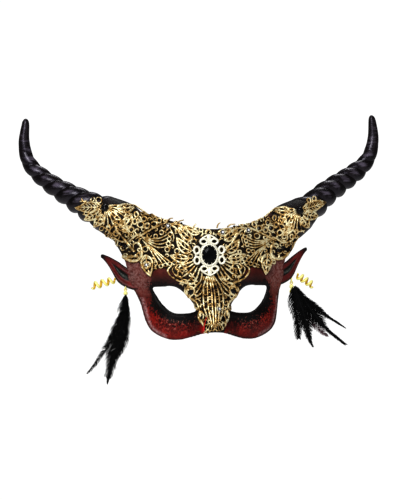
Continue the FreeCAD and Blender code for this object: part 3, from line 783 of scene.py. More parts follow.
def nose_pattern(sign):
    """Half of the nose panel: ribs that run down the nose, a leaf gem and side scallops."""
    p = Pattern(sign)
    for i, spread in enumerate((1.4, 5.2, 9.4)):
        p.stroke([(0.7 + 0.6 * i, 26), (spread * 0.8, 14), (spread, 2),
                  (spread * 0.98, -10 + i), (spread * 0.7, -22 + i * 2), (spread * 0.5, -30 + i * 3.4)],
                 1.0, 1.2, False)
    for i in range(5):
        z = 13 - 7.4 * i
        p.ring(3.4, z + 2.6, 1.5, 0.6, 1.0)
        p.stroke([(5.6, z), (7.4, z - 1.6), (9.4, z + 0.6)], 0.7, 1.0)
    p.fan(4, 27, -76, -36, 12, 27, 4, 0.95, 1.1, 0.1)
    p.stroke([(27, 13), (27.5, 8), (22, 1), (16.5, -4.5), (14.5, -11)], 1.1, 1.2)
    p.leaf(20, 14, -70, 13, 8, 0.0, 1, 0.9, 1.2)
    p.stones.append((21.5, 7.5, 3.7))
    p.stroke([(14.5, -10), (13.8, -17), (12, -24), (9.5, -30)], 1.0, 1.1)
    p.leaf(12.5, -12, -84, 13, 5.4, -0.1, 1, 0.75, 1.1)
    p.stones.append((11.9, -19.5, 2.7))
    p.fan(2, -22, -100, -50, 3, 11, 4, 0.7, 1.0)
    return p


TRIES = 9000
# half the width and height that the medallion covers, and the clear space round a horn's bead
COVERED = (17, 22)
BEAD_CLEAR = 9
LEAST_GAP = 2.3


def scattered(pattern, count):
    """Fills what is left with small rings, curls and sprigs, never on top of each other."""
    taken = np.vstack([line[::2] * [pattern.sign, 1] for line, _, _, _ in pattern.strokes])
    for _ in range(TRIES):
        if not count:
            break
        x, z = draw.uniform(0, 126), draw.uniform(-34, 103)
        if not inside(x, z) or math.hypot(x / COVERED[0], (z - PLATE_BACK[2]) / COVERED[1]) < 1:
            continue
        if math.dist((x, z), BEAD_HUB) < BEAD_CLEAR:
            continue
        gap = np.min(np.hypot(taken[:, 0] - x, taken[:, 1] - z))
        if gap < LEAST_GAP:
            continue
        size = min(gap - 0.1, draw.uniform(2.2, 4.0))
        kind = draw.random()
        if kind < 0.3:
            pattern.ring(x, z, size * 0.8, 0.75, 0.9)
            if size > 2 and draw.random() < 0.6:
                pattern.stones.append((x, z, size * 0.55))
        elif kind < 0.65:
            pattern.curl(x, z, size, draw.uniform(0, 6), 1.1, 0.8, 0.9)
        else:
            turn = draw.uniform(0, math.pi)
            for side in (-0.6, 0.6):
                dx, dz = size * math.cos(turn), size * math.sin(turn)
                pattern.stroke([(x - dx - side * dz, z - dz + side * dx), (x + 0.4 * side * dz, z),
                                (x + dx - side * dz, z + dz + side * dx)], 0.8, 0.9)
        taken = np.vstack([taken, [(x + size * math.cos(a), z + size * math.sin(a))
                                   for a in np.linspace(0, 6, 8)], [(x, z)]])
        count -= 1


NET_PITCH = 3.8


def netting(sign):
    """A fine slanting net under the motifs, cut to the lace's outline."""
    lines = []
    for slant in (38, -52):
        c, s = math.cos(math.radians(slant)), math.sin(math.radians(slant))
        for offset in np.arange(-160, 161, NET_PITCH):
            run = []
            for along in np.arange(-190, 191, 1.1):
                wave = 0.35 * math.sin(along * 1.3 + offset)
                x, z = along * c - (offset + wave) * s, along * s + (offset + wave) * c
                if x > 0.4 and inside(x, z):
                    run.append((x * sign, z))
                    continue
                if len(run) > 3:
                    lines.append(np.array(run))
                run = []
    return lines


def gilt():
    """Antique gold with patchy wear, tarnish and a dark wash in its folds; each cord is painted cream where
    it faces out, as a painted highlight, and darker on its sides, as painted shade.
    """
    s = Shading("antique_gold")
    mottled = s.ramp(s.noise(210, 5, 0.65), (0.38, 0.0), (0.62, 1.0))
    grain = s.noise(1500, 3, 0.6)
    # painted highlight and painted shade: each cord's face that turns out is lighter, its sides darker
    height = s.sum(s.times(s.value("top"), 0.62), s.times(mottled, 0.62))
    tarnish = s.ramp(s.noise(36, 3, 0.5), (0.48, 0.14), (0.66, 0.42))
    height = s.sum(height, tarnish, "SUBTRACT")
    s.colour(s.ramp(height, (0.02, (0.008, 0.005, 0.003)), (0.22, (0.12, 0.060, 0.018)),
                    (0.48, (0.66, 0.43, 0.145)), (0.78, (1.0, 0.93, 0.64))))
    s.link(s.ramp(height, (0.1, 0.15), (0.6, 0.55)), s.shader.inputs["Metallic"])
    s.rough(grain, 0.26, 0.5)
    s.bump(grain, 0.0002)
    return s.material


GILT = gilt()
front = Surface(skin, *horns)
piles = {name: Cords() for name in ("brow_lace", "nose_lace", "left_horn_lace", "right_horn_lace")}
gems = Cords()


# how far the motifs round each horn's bead stand from their place in the pattern
BEAD_SHIFT = {-1: (-0.5, 0.9), 1: (-5.4, -0.7)}
FILLERS = 100
CORD_SIDES = 7
NET_SIDES = 4
NET_RADIUS = 0.30
# how much darker the nose panel's cords are set
NOSE_DARKENING = -0.12


def settled(flat, sign):
    """From the pattern to the mask: slid with the horn's bead, then leaning."""
    flat = np.array(flat, dtype=float)
    flat += np.clip((np.abs(flat[:, :1]) - 84) / 16, 0, 1) * BEAD_SHIFT[sign]
    return leaning(np.insert(flat, 1, 0, axis=1))[:, [0, 2]]


def pile_for(line):
    """Which piece of lace a stroke belongs to, by where its middle lies."""
    x, z = line[len(line) // 2]
    if abs(x) > HORN_SIDE_X:
        return "left_horn_lace" if x < 0 else "right_horn_lace"
    return "nose_lace" if z < 24 and abs(x) < 29 else "brow_lace"


def lay_lace(sign):
    """One side's lace: its cords, the net under them and the small stones set in it."""
    pattern = brow_pattern(sign)
    nose = nose_pattern(sign)
    pattern.strokes += nose.strokes
    pattern.stones += nose.stones
    scattered(pattern, FILLERS)
    for line, radius, lift, taper in pattern.strokes:
        line = settled(line, sign)
        points, normals = front.line(line, lift)
        share = np.linspace(0, 1, len(points))
        swell = np.minimum(1, 0.35 + 4 * np.minimum(share, 1 - share)) if taper else 1.0
        knots = np.array([draw.uniform(0.8, 1.15) for _ in share])
        pile = pile_for(line)
        darkening = NOSE_DARKENING if pile == "nose_lace" else 0.0
        piles[pile].add(points, radius * swell * knots, normals, CORD_SIDES, 0.9, shine=darkening)
    for line in netting(sign):
        line = settled(line, sign)
        points, normals = front.line(line, 0.05)
        # the net, lying low between the cords, is set darker, as painted shade
        piles[pile_for(line)].add(points, NET_RADIUS, normals, NET_SIDES, 0.8, shine=-0.75)
    for x, z, size in pattern.stones:
        centre, normal = front.at(*settled([(x * sign, z)], sign)[0])
        dome = [(0, size), (0.55 * size, 0.88 * size), (0.95 * size, 0.5 * size),
                (1.08 * size, 0.1 * size)]
        gems.turned(dome, centre, normal, 12)


for _, sign in SIDES:
    lay_lace(sign)

# loose ends of the lace that stand up over the brow, as x, z
SPRIGS = [((-34, 78.5), (-29.5, 81.2), (-24.5, 82.6)), ((-15.5, 73.5), (-14.5, 76.5), (-12.5, 78.2)),
          ((9, 73.5), (10, 77), (12.5, 79.2)), ((20, 74.5), (23.5, 77.0), (28.5, 77.4)),
          ((-41, 82), (-38.5, 84.2), (-35.5, 84.6))]
for ends in SPRIGS:
    flat = sweep_of(ends, 0.9)
    depth = front.at(flat[0][0], flat[0][1] - 4)[0][1] - 0.6
    line = np.insert(flat, 1, depth, axis=1)
    piles["brow_lace"].add(line, np.linspace(0.9, 0.5, len(line)), AHEAD, 7, shine=-0.3)

for name, cords in piles.items():
    dress(cords.build(name + "_cords"), GILT, "mask", "gilt_lace", name)
ground = np.array([inside(x, z) and y < 40 for x, y, z in place])
mark(skin, "ground", ground * (out[:, 1] < 0.2))


def red_thread():
    """A run of scarlet paint along the nose's ribs."""
    s = Shading("scarlet_run")
    thick = s.noise(600, 4, 0.6)
    s.colour(s.ramp(thick, (0.35, (0.42, 0.006, 0.005)), (0.65, (0.72, 0.018, 0.014))))
    s.rough(thick, 0.3, 0.5)
    s.bump(thick, 0.0003)
    run = Cords()
    flat = sweep_of([(-6.6, -33.5), (-6.0, -28), (-4.6, -23), (-3.4, -18)], 0.8)
    points, normals = front.line(flat, 1.6)
    run.add(points, np.linspace(1.15, 0.35, len(points)), normals, 8, 0.8)
    dress(run.build("nose_red_run"), s.material, "mask", "painted_shell")


red_thread()


# ------------------------------------------------------------------ metals and stones
def metal(name, dark, middle, bright, metallic, rough, bump=0.0001):
    """A cast or drawn metal with fine wear: painted shade in its folds and on faces turned away, a painted
    highlight on faces turned out.
    """
    s = Shading(name)
    wear = s.noise(420, 5, 0.65)
    grain = s.noise(1900, 3, 0.6)
    # painted highlight and painted shade from how much each point faces out, mixed with wear
    height = s.sum(s.times(s.value("top"), 0.7), s.times(wear, 0.6))
    s.colour(s.ramp(height, (0.15, dark), (0.55, middle), (0.95, bright)))
    s.set(Metallic=metallic)
    s.rough(grain, rough, rough + 0.2)
    s.bump(grain, bump)
    return s.material


def plain_metal(name, low, high, metallic, rough, scale=300):
    """The same for a model's own part, which has no height to read."""
    s = Shading(name)
    wear = s.noise(scale, 5, 0.65)
    s.colour(s.ramp(wear, (0.3, low), (0.7, high)))
    s.set(Metallic=metallic)
    s.rough(wear, rough, rough + 0.2)
    s.bump(s.noise(scale * 5, 3), 0.00008)
    return s.material


def gloss(name, low, high, rough, table_glint=None, shine=0.3):
    """Black glass or lacquered bead, clouded a little, with a painted glint, a painted reflection, on the
    table where marked.
    """
    s = Shading(name)
    cloud = s.noise(260, 4, 0.6)
    coat = s.ramp(cloud, (0.35, low), (0.7, high))
    if table_glint:
        # painted reflection: a near-white glint on the stone's table
        table = s.times(s.value("top"), 0.5)
        coat = s.mix(s.ramp(table, (0.65, 0.0), (0.8, 1.0)), coat, table_glint)
    s.colour(coat)
    s.rough(cloud, rough, rough + 0.14)
    s.set(Specular_IOR_Level=shine, Coat_Weight=0.7 * shine, Coat_Roughness=0.05)
    s.bump(cloud, 0.0001, 0.3)
    return s.material


# for each metal: the painted shade, the metal's colour and the painted highlight
PALE_GOLD = metal("pale_gold", (0.03, 0.02, 0.008), (0.80, 0.70, 0.42), (1.0, 0.98, 0.86), 0.25, 0.25)
YELLOW_GOLD = metal("yellow_gold", (0.80, 0.55, 0.06), (1.0, 0.86, 0.16), (1.0, 0.96, 0.42), 0.0, 0.25)
JET = gloss("jet_glass", (0.002, 0.002, 0.002), (0.006, 0.005, 0.006), 0.3, shine=0.12)
BEAD = gloss("black_beads", (0.003, 0.003, 0.003), (0.012, 0.010, 0.012), 0.12)
CRYSTAL = gloss("smoked_crystal", (0.004, 0.004, 0.006), (0.02, 0.02, 0.03), 0.04, (0.92, 0.93, 0.97))

dress(gems.build("lace_gems", smooth=False), BEAD, "mask", "black_bead")


# ------------------------------------------------------------------ medallion
PLATE_TILT = math.radians(-6)
PLATE_WALL = 2.2
# the open petals on the +X side: x, z, half width and half height
PETALS = [(5.5, 14.2, 4.8, 4.0), (12.9, 5.3, 4.1, 4.9), (12.9, -5.3, 4.1, 4.9), (5.5, -14.2, 4.8, 4.0)]
BEZEL_WIDE, BEZEL_TALL = 9.4, 11.8
STONE_WIDE, STONE_TALL, STONE_RISE = 7.7, 10.1, 3.6


def seated(points):
    """From the medallion's own axes to the mask's."""
    points = np.asarray(points, dtype=float)
    c, s = math.cos(PLATE_TILT), math.sin(PLATE_TILT)
    y = points[:, 1] * c - points[:, 2] * s
    z = points[:, 1] * s + points[:, 2] * c
    return np.stack([points[:, 0], y, z], axis=1) + PLATE_BACK


def oval(x, z, wide, tall, y, count=28):
    """Points round an upright oval."""
    angle = np.linspace(0, 2 * np.pi, count, endpoint=False)
    return np.stack([x + wide * np.cos(angle), np.full(count, y), z + tall * np.sin(angle)], axis=1)


def medallion():
    """Openwork petals, points and knobs round a plate, in pale gold."""
    work = Cords()
    plate = [(0, 0.2), (0, 1.12), (1.6, 1.12), (1.6, 0.2)]
    work.turned(plate, (0, 0, 0), AHEAD, 48, BEZEL_WIDE, BEZEL_TALL)
    for x, z, wide, tall in PETALS:
        for sign in (-1, 1):
            ring = oval(sign * x, z, wide - 1.2, tall - 1.2, -1.1)
            work.add(ring, 1.25, AHEAD, 10, 1.05, closed=True, shine=0.2)
    for sign in (-1, 1):
        for x, z, size in ((sign * 14.2, 0.0, 1.1), (sign * 17.2, 5.0, 0.8), (sign * 17.2, -5.0, 0.8)):
            knob = [(0.2, 1.0), (1.2, 1.0), (2.0, 0.7), (2.4, 0.15)]
            work.turned(knob, (x, 0, z), AHEAD, 14, size, size, tops=1.2)
    for end in (-1, 1):
        for sign in (-1, 1):
            vee = spline([(sign * 9.2, -1.0, end * 15.6), (sign * 5.4, -1.1, end * 18.6),
                          (0, -1.0, end * 21.4)], 12)
            work.add(vee, 0.9, AHEAD, 8, 0.9, shine=0.2)
        spine = spline([(0, -1.2, end * 12.0), (0, -1.3, end * 17.6), (0, -1.0, end * 21.8)], 10)
        work.add(spine, (1.2, 1.1, 1.1, 1.3, 1.8, 2.5, 2.6, 2.0, 1.3, 0.6), AHEAD,
                 12, 0.5, shine=0.2)
    work.points = [seated(p) for p in work.points]
    return work.build("medallion_openwork")


def beaded_bezel():
    """The rim that grips the stone: a band with a row of grains and small claws."""
    rim = Cords()
    ring = oval(0, 0, BEZEL_WIDE - 1.0, BEZEL_TALL - 1.0, -PLATE_WALL - 0.5, 56)
    rim.add(ring, 0.85, AHEAD, 10, 1.0, closed=True, shine=0.1)
    grain = [(0, 0.75), (0.6, 0.9), (1.1, 0.65), (1.35, 0.1)]
    for x, y, z in oval(0, 0, BEZEL_WIDE - 0.5, BEZEL_TALL - 0.5, -PLATE_WALL, 30):
        rim.turned(grain, (x, y + 0.2, z), AHEAD, 8, tops=1.1)
    for x, y, z in oval(0, 0, BEZEL_WIDE - 1.9, BEZEL_TALL - 1.9, -PLATE_WALL, 10):
        claw = np.array([(x * 1.06, -PLATE_WALL - 0.4, z * 1.06), (x, -PLATE_WALL - 1.5, z),
                         (x * 0.9, -PLATE_WALL - 2.3, z * 0.9)])
        rim.add(claw, (0.6, 0.5, 0.3), AHEAD, 6)
    rim.points = [seated(p) for p in rim.points]
    return rim.build("medallion_claws")


def cut_oval(name, wide, tall, rise, sides=16):
    """A faceted stone: a girdle, two rows of facets half a step apart, and a table."""
    stone = Cords()
    levels = [(0, 0.9, 0), (0.25, 1.0, 0), (0.5, 0.93, 0), (0.78, 0.74, 0.5), (1.0, 0.46, 0)]
    rings = []
    for depth, share, turn in levels:
        angle = (np.arange(sides) + turn) * 2 * np.pi / sides
        rings.append(np.stack([share * wide * np.cos(angle),
                               np.full(sides, -PLATE_WALL - depth * rise),
                               share * tall * np.sin(angle)], axis=1))
    faces = loop_faces(3, sides, ends=False)
    for row in (2, 3):
        for k in range(sides):
            a, b = row * sides + k, row * sides + (k + 1) % sides
            c, d = a + sides, b + sides
            faces += [(a, b, c), (b, d, c)] if row == 2 else [(a, b, d), (a, d, c)]
    faces.append(tuple(reversed(range(sides))))
    faces.append(tuple(4 * sides + k for k in range(sides)))
    stone.take(seated(np.vstack(rings)), faces)
    return stone.build(name, smooth=False)


dress(medallion(), PALE_GOLD, "mask", "pale_gold", "medallion_frame")
dress(beaded_bezel(), PALE_GOLD, "mask", "pale_gold", "medallion_bezel")
dress(cut_oval("cut_stone", STONE_WIDE, STONE_TALL, STONE_RISE), JET, "mask", "black_stone", "centre_stone")


# ------------------------------------------------------------------ rhinestones and beads
# places as x, z; the scroll's beads are given as if on the +X side
BROW_STONES = [(-40, 73.5), (42, 73), (14.5, 70), (-62, 36)]
NOSE_STONE = (4.5, -11)
SCROLL = {"left": [(88, 58), (83, 55.2), (78, 52), (73.4, 48.4)], "right": [(80, 53), (75, 49.6)]}


def rhinestone(cups, stones, x, z):
    """A cup with six claws and a brilliant-cut stone with a painted highlight on its table."""
    (x, _, z), = leaning([(x, 0, z)])
    foot, normal = front.at(x, z)
    foot, normal = np.array(foot), np.array(normal)
    cups.turned([(-0.4, 2.6), (0.5, 3.0), (1.3, 2.9), (1.5, 2.5), (1.1, 2.2)], foot, normal, 24,
                tops=np.array([0, 0.4, 0.7, 0.7, 0.0]))
    side = unit(np.cross(normal, (0, 0, 1.0)))
    for k in range(6):
        turn = k * math.pi / 3 + 0.3
        reach = side * math.cos(turn) + np.cross(normal, side) * math.sin(turn)
        claw = np.array([foot + reach * 2.8 + normal * 1.0, foot + reach * 2.5 + normal * 1.9,
                         foot + reach * 2.0 + normal * 2.2])
        cups.add(claw, (0.5, 0.42, 0.3), normal, 6, shine=0.3)
    levels = [(1.0, 2.2), (1.5, 2.45), (2.1, 1.9), (2.45, 1.25), (2.6, 1.15)]
    # tops above one paint a glint, a painted reflection, on the table
    stones.turned(levels, foot, normal, 12, tops=np.array([0, 0, 0.3, 1.3, 1.8]))


cups, brow_stones, nose_stone = Cords(), Cords(), Cords()
for x, z in BROW_STONES:
    rhinestone(cups, brow_stones, x, z)
rhinestone(cups, nose_stone, *NOSE_STONE)
dress(cups.build("rhinestone_cups"), PALE_GOLD, "mask", "pale_gold", "rhinestone_settings")
dress(brow_stones.build("brow_brilliants", smooth=False), CRYSTAL, "mask", "rhinestone",
      "brow_rhinestones")
dress(nose_stone.build("nose_brilliant", smooth=False), CRYSTAL, "mask", "rhinestone",
      "nose_rhinestone")


def bead_profile(radius, sunk):
    """A drilled bead seen from the side: round, with a flat rim at its hole."""
    rows = [(radius * math.sin(a) - sunk, radius * math.cos(a)) for a in np.linspace(-1.2, 1.25, 14)]
    return rows + [(radius * 0.86 - sunk, radius * 0.16)]


for side, sign in SIDES:
    bead = Cords()
    bead.turned(bead_profile(4.1, 0.0), middle_of(side + "_horn_bead"), (0.15 * sign, -1, 0.1), 32)
    dress(bead.build(side + "_horn_jet"), BEAD, "mask", "black_bead", side + "_horn_bead")
    row = Cords()
    for x, z in SCROLL[side]:
        foot, normal = front.at(*leaning([(x * sign, 0, z)])[0][[0, 2]])
        row.turned(bead_profile(2.1, -1.2), foot, normal, 20)
        row.turned(bead_profile(1.2, -0.7), np.array(foot) + [2.6 * sign, 0, 0.6], normal, 14)
    dress(row.build(side + "_scroll_jet"), BEAD, "mask", "black_bead", side + "_scroll_beads")


# ------------------------------------------------------------------ ears
# lower and upper edge of the ear from its root to its tip, as x, z on the +X side
EAR_LOWER = [(70.0, 9.2), (76.5, 10.4), (83.5, 13.0), (89.5, 16.8), (93.5, 21.5), (97.0, 28.5),
             (100.8, 35.5), (105.0, 41.5), (108.4, 44.8)]
EAR_UPPER = [(70.0, 33.0), (78.0, 31.6), (84.5, 35.0), (90.0, 39.3), (95.0, 42.4), (99.5, 45.0),
             (103.5, 46.8), (106.4, 47.9), (108.3, 47.4)]
RIGHT_EAR_UP = 2.6
EAR_DEPTH = [(68, -5.5), (77, -1.5), (83, 0.8), (90, 4.0), (98, 8.5), (104, 12.5), (110, 16.5)]


def ear_paint():
    """Deep red leather, black at its edges and tip, with painted shade in its hollow and under its fold,
    and a grey-green painted highlight in the middle of the hollow.
    """
    s = Shading("ear_paint")
    patches = s.noise(70, 5, 0.6)
    sponge = s.noise(500, 6, 0.75)
    coat = s.ramp(patches, (0.3, (0.075, 0.008, 0.008)), (0.52, (0.13, 0.010, 0.009)),
                  (0.74, (0.27, 0.028, 0.022)))
    hollow_highlight = s.ramp(sponge, (0.4, (0.030, 0.036, 0.032)), (0.62, (0.15, 0.165, 0.145)))
    # painted shade: black in the hollow
    coat = s.mix(s.ramp(s.value("hollow"), (0.12, 0.0), (0.38, 1.0)), coat, (0.008, 0.007, 0.007))
    # painted highlight: grey-green in the middle of the hollow
    coat = s.mix(s.ramp(s.value("hollow"), (0.55, 0.0), (0.85, 1.0)), coat, hollow_highlight)
    dark = s.sum(s.value("dark_edges_and_fold_shade"), s.sum(sponge, 0.5, "SUBTRACT"))
    s.colour(s.mix(s.ramp(dark, (0.2, 0.0), (0.7, 1.0)), coat, (0.010, 0.006, 0.006)))
    s.rough(sponge, 0.30, 0.55)
    s.set(Specular_IOR_Level=0.4)
    s.bump(sponge, 0.0006)
    s.bump(patches, 0.0012, 0.4)
    return s.material


def ear(side, sign):
    """A cupped leaf: rolled rims, a leaf-shaped hollow with a fold above it, a rounded back."""
    rows, columns = 70, 40
    lower, upper = (spline([p + (0,) for p in edge], rows) for edge in (EAR_LOWER, EAR_UPPER))
    u = np.linspace(0, 1, rows)[:, None]
    v = np.linspace(0, 1, columns)[None, :]
    flat = lower[:, None, :2] * (1 - v[..., None]) + upper[:, None, :2] * v[..., None]
    depth = np.interp(flat[..., 0], *np.array(EAR_DEPTH).T)
    narrow = np.clip(np.linalg.norm(lower[:, :2] - upper[:, :2], axis=1) / 20, 0, 1)[:, None]
    hollow = bell((u - 0.42) / 0.21, 1) * bell((v - 0.54 - 0.1 * (u - 0.4)) / (0.16 * (1.2 - u)), 1)
    rolls = 2.3 * bell(v - 0.07, 0.08) + 2.0 * bell(v - 0.93, 0.08)
    fold = 1.5 * bell(v - 0.74, 0.07) * bell(u - 0.3, 0.3)
    relief = (rolls + fold - 3.4 * hollow + 0.6) * (0.35 + 0.65 * narrow)
    edge = np.sin(np.pi * np.clip(v, 0.001, 0.999)) ** 0.35
    thick = (0.25 + 1.5 * narrow) * edge
    ahead = np.stack([flat[..., 0], depth - relief * edge - thick, flat[..., 1]], axis=2)
    behind = np.stack([flat[..., 0], depth + thick + 1.2 * hollow, flat[..., 1]], axis=2)
    loops = np.concatenate([ahead, behind[:, ::-1][:, 1:-1]], axis=1)
    points = loops.reshape(-1, 3)
    if sign > 0:
        points[:, 2] += RIGHT_EAR_UP + 1.8 * np.clip((points[:, 0] - 90) / 18, 0, 1)
    points[:, 0] *= sign
    faces = loop_faces(rows, loops.shape[1])
    item = mesh_object(side + "_ear_leaf", points, faces if sign < 0 else flip_faces(faces))
    seam = columns - 2

    def both(front_values, back):
        return np.concatenate([front_values, np.full((rows, seam), back)], axis=1).ravel()

    mark(item, "hollow", both(np.clip(1.25 * hollow, 0, 1), 0.0))
    rims = np.maximum(bell(v - 0.0, 0.10), bell(v - 1.0, 0.09)) + 0 * u
    # painted shade under the fold above the hollow
    fold_shade = 0.8 * bell(v - 0.62, 0.05) * bell(u - 0.35, 0.3)
    tip = np.clip((u - 0.80) / 0.2, 0, 1)
    mark(item, "dark_edges_and_fold_shade", both(np.clip(rims + fold_shade + tip, 0, 1), 0.55))
    dress(item, EAR_PAINT, "mask", "painted_ear", side + "_ear")


EAR_PAINT = ear_paint()
for side, sign in SIDES:
    ear(side, sign)


# ------------------------------------------------------------------ wire fittings
COILS = {"left": ((93.5, 6, 21.5), (119, 9.5, 14.5)), "right": ((97, 7.8, 23.5), (114, 10, 12))}
COIL_RADIUS, COIL_WIRE, COIL_TURNS = 3.0, 1.35, 3.6


def coil(side, sign):
    """Springy wire with uneven turns and a cut end that curls in."""
    start, end = (np.array(p, dtype=float) for p in COILS[side])
    axis = unit(end - start)
    across = unit(np.cross(axis, (0, 1.0, 0)))
    up = np.cross(across, axis)
    share = np.linspace(0, 1, 150)
    turn = 2 * math.pi * COIL_TURNS * share + 0.4
    reach = COIL_RADIUS * (0.95 + 0.12 * share + 0.08 * np.sin(5 * share + sign))
    reach *= np.clip(0.4 + 9 * share, 0, 1)
    stretch = share + 0.012 * np.sin(turn * 0.5)
    core = start + (end - start) * stretch[:, None]
    line = (core + across * (reach * np.cos(turn))[:, None] + up * (reach * np.sin(turn))[:, None])
    line[:, 0] *= sign
    work = Cords()
    outward = line - core * [sign, 1, 1]
    work.add(line, COIL_WIRE * np.clip(1.3 - 36 * np.abs(share - 0.5) ** 5, 0.75, 1), outward, 10)
    dress(work.build(side + "_gold_coil"), YELLOW_GOLD, "mask", "gold_wire", side + "_ear_coil")


def gild(work, side, name, body, node):
    """Finishes a gold fitting of one ear drop."""
    dress(work.build(side + "_" + name), YELLOW_GOLD, side + "_" + body, "gold_wire", side + "_" + node)


def drop_fittings(side):
    """The ring with its split, the pin's eye, the bead and the ribbed cap of one ear drop."""
    centre = middle_of(side + "_jump_ring")
    turn = np.linspace(0.10, 2 * np.pi - 0.02, 60)
    line = np.stack([centre[0] + 0.25 * (turn / np.pi - 1) * 0.5, centre[1] + 2.5 * np.sin(turn),
                     centre[2] + 2.5 * np.cos(turn)], axis=1)
    ring = Cords()
    ring.add(line, 0.55, line - centre, 10, shine=0.3)
    gild(ring, side, "split_ring", "ring", "jump_ring")
    low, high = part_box(side + "_eye_pin")
    eye_z = high[2] / MM - 1.85
    x, y = centre[0], centre[1]
    turn = np.linspace(0, 2 * np.pi, 40)
    eye = np.stack([x + 1.4 * np.sin(turn), y + 0.3 * (turn / np.pi - 1),
                    eye_z - 1.4 * np.cos(turn)], axis=1)
    pin = Cords()
    pin.add(eye, 0.46, eye - [x, y, eye_z], 8, shine=0.3)
    pin.turned([(0, 0.46), (low[2] / MM - eye_z + 1.3, 0.46)], (x, y, eye_z - 1.3), (0, 0, 1), 12)
    gild(pin, side, "looped_pin", "drop", "eye_pin")
    bead = Cords()
    bead_z = middle_of(side + "_drop_bead")[2]
    rows = [(2.15 * math.sin(a), 2.25 * math.cos(a)) for a in np.linspace(-1.3, 1.3, 15)]
    bead.turned([(rows[0][0] + 0.3, 0.4)] + rows + [(rows[-1][0] - 0.3, 0.4)], (x, y, bead_z),
                (0, 0, 1), 28, tops=1.0)
    gild(bead, side, "gold_bead", "drop", "drop_bead")
    low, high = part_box(side + "_feather_cap")
    foot, tall = low[2] / MM, (high[2] - low[2]) / MM
    cap = Cords()
    rows = [(0.25, 1.9), (0.0, 2.35), (0.3, 2.4), (0.7, 2.2), (1.1, 2.3), (1.5, 2.05), (2.1, 2.0),
            (2.5, 1.7), (3.0, 1.6), (3.4, 1.25), (tall, 1.0)]
    # the cap is painted lighter towards its top, as a painted highlight
    cap.turned(rows, (x, y, foot), (0, 0, 1), 24, tops=np.linspace(0.2, 1, len(rows)))
    gild(cap, side, "ribbed_cap", "drop", "feather_cap")


for side, sign in SIDES:
    coil(side, sign)
    drop_fittings(side)


# ------------------------------------------------------------------ feathers
def plume(name, low, high, sheen):
    """Barbs of a feather: streaked along, with a faint cold sheen."""
    s = Shading(name)
    streak = s.noise(500, 4, 0.7)
    patch = s.noise(60, 3, 0.6)
    s.colour(s.ramp(s.sum(s.times(streak, 0.6), s.times(patch, 0.4)),
                    (0.40, low), (0.62, high)))
    s.rough(streak, 0.42, 0.7)
    s.set(Specular_IOR_Level=0.15, Sheen_Weight=sheen, Sheen_Roughness=0.4)
    return s.material


BLACK_PLUME = plume("black_plume", (0.0012, 0.0012, 0.0014), (0.006, 0.006, 0.007), 0.02)
BROWN_PLUME = plume("brown_plume", (0.10, 0.055, 0.065), (0.30, 0.20, 0.22), 0.1)

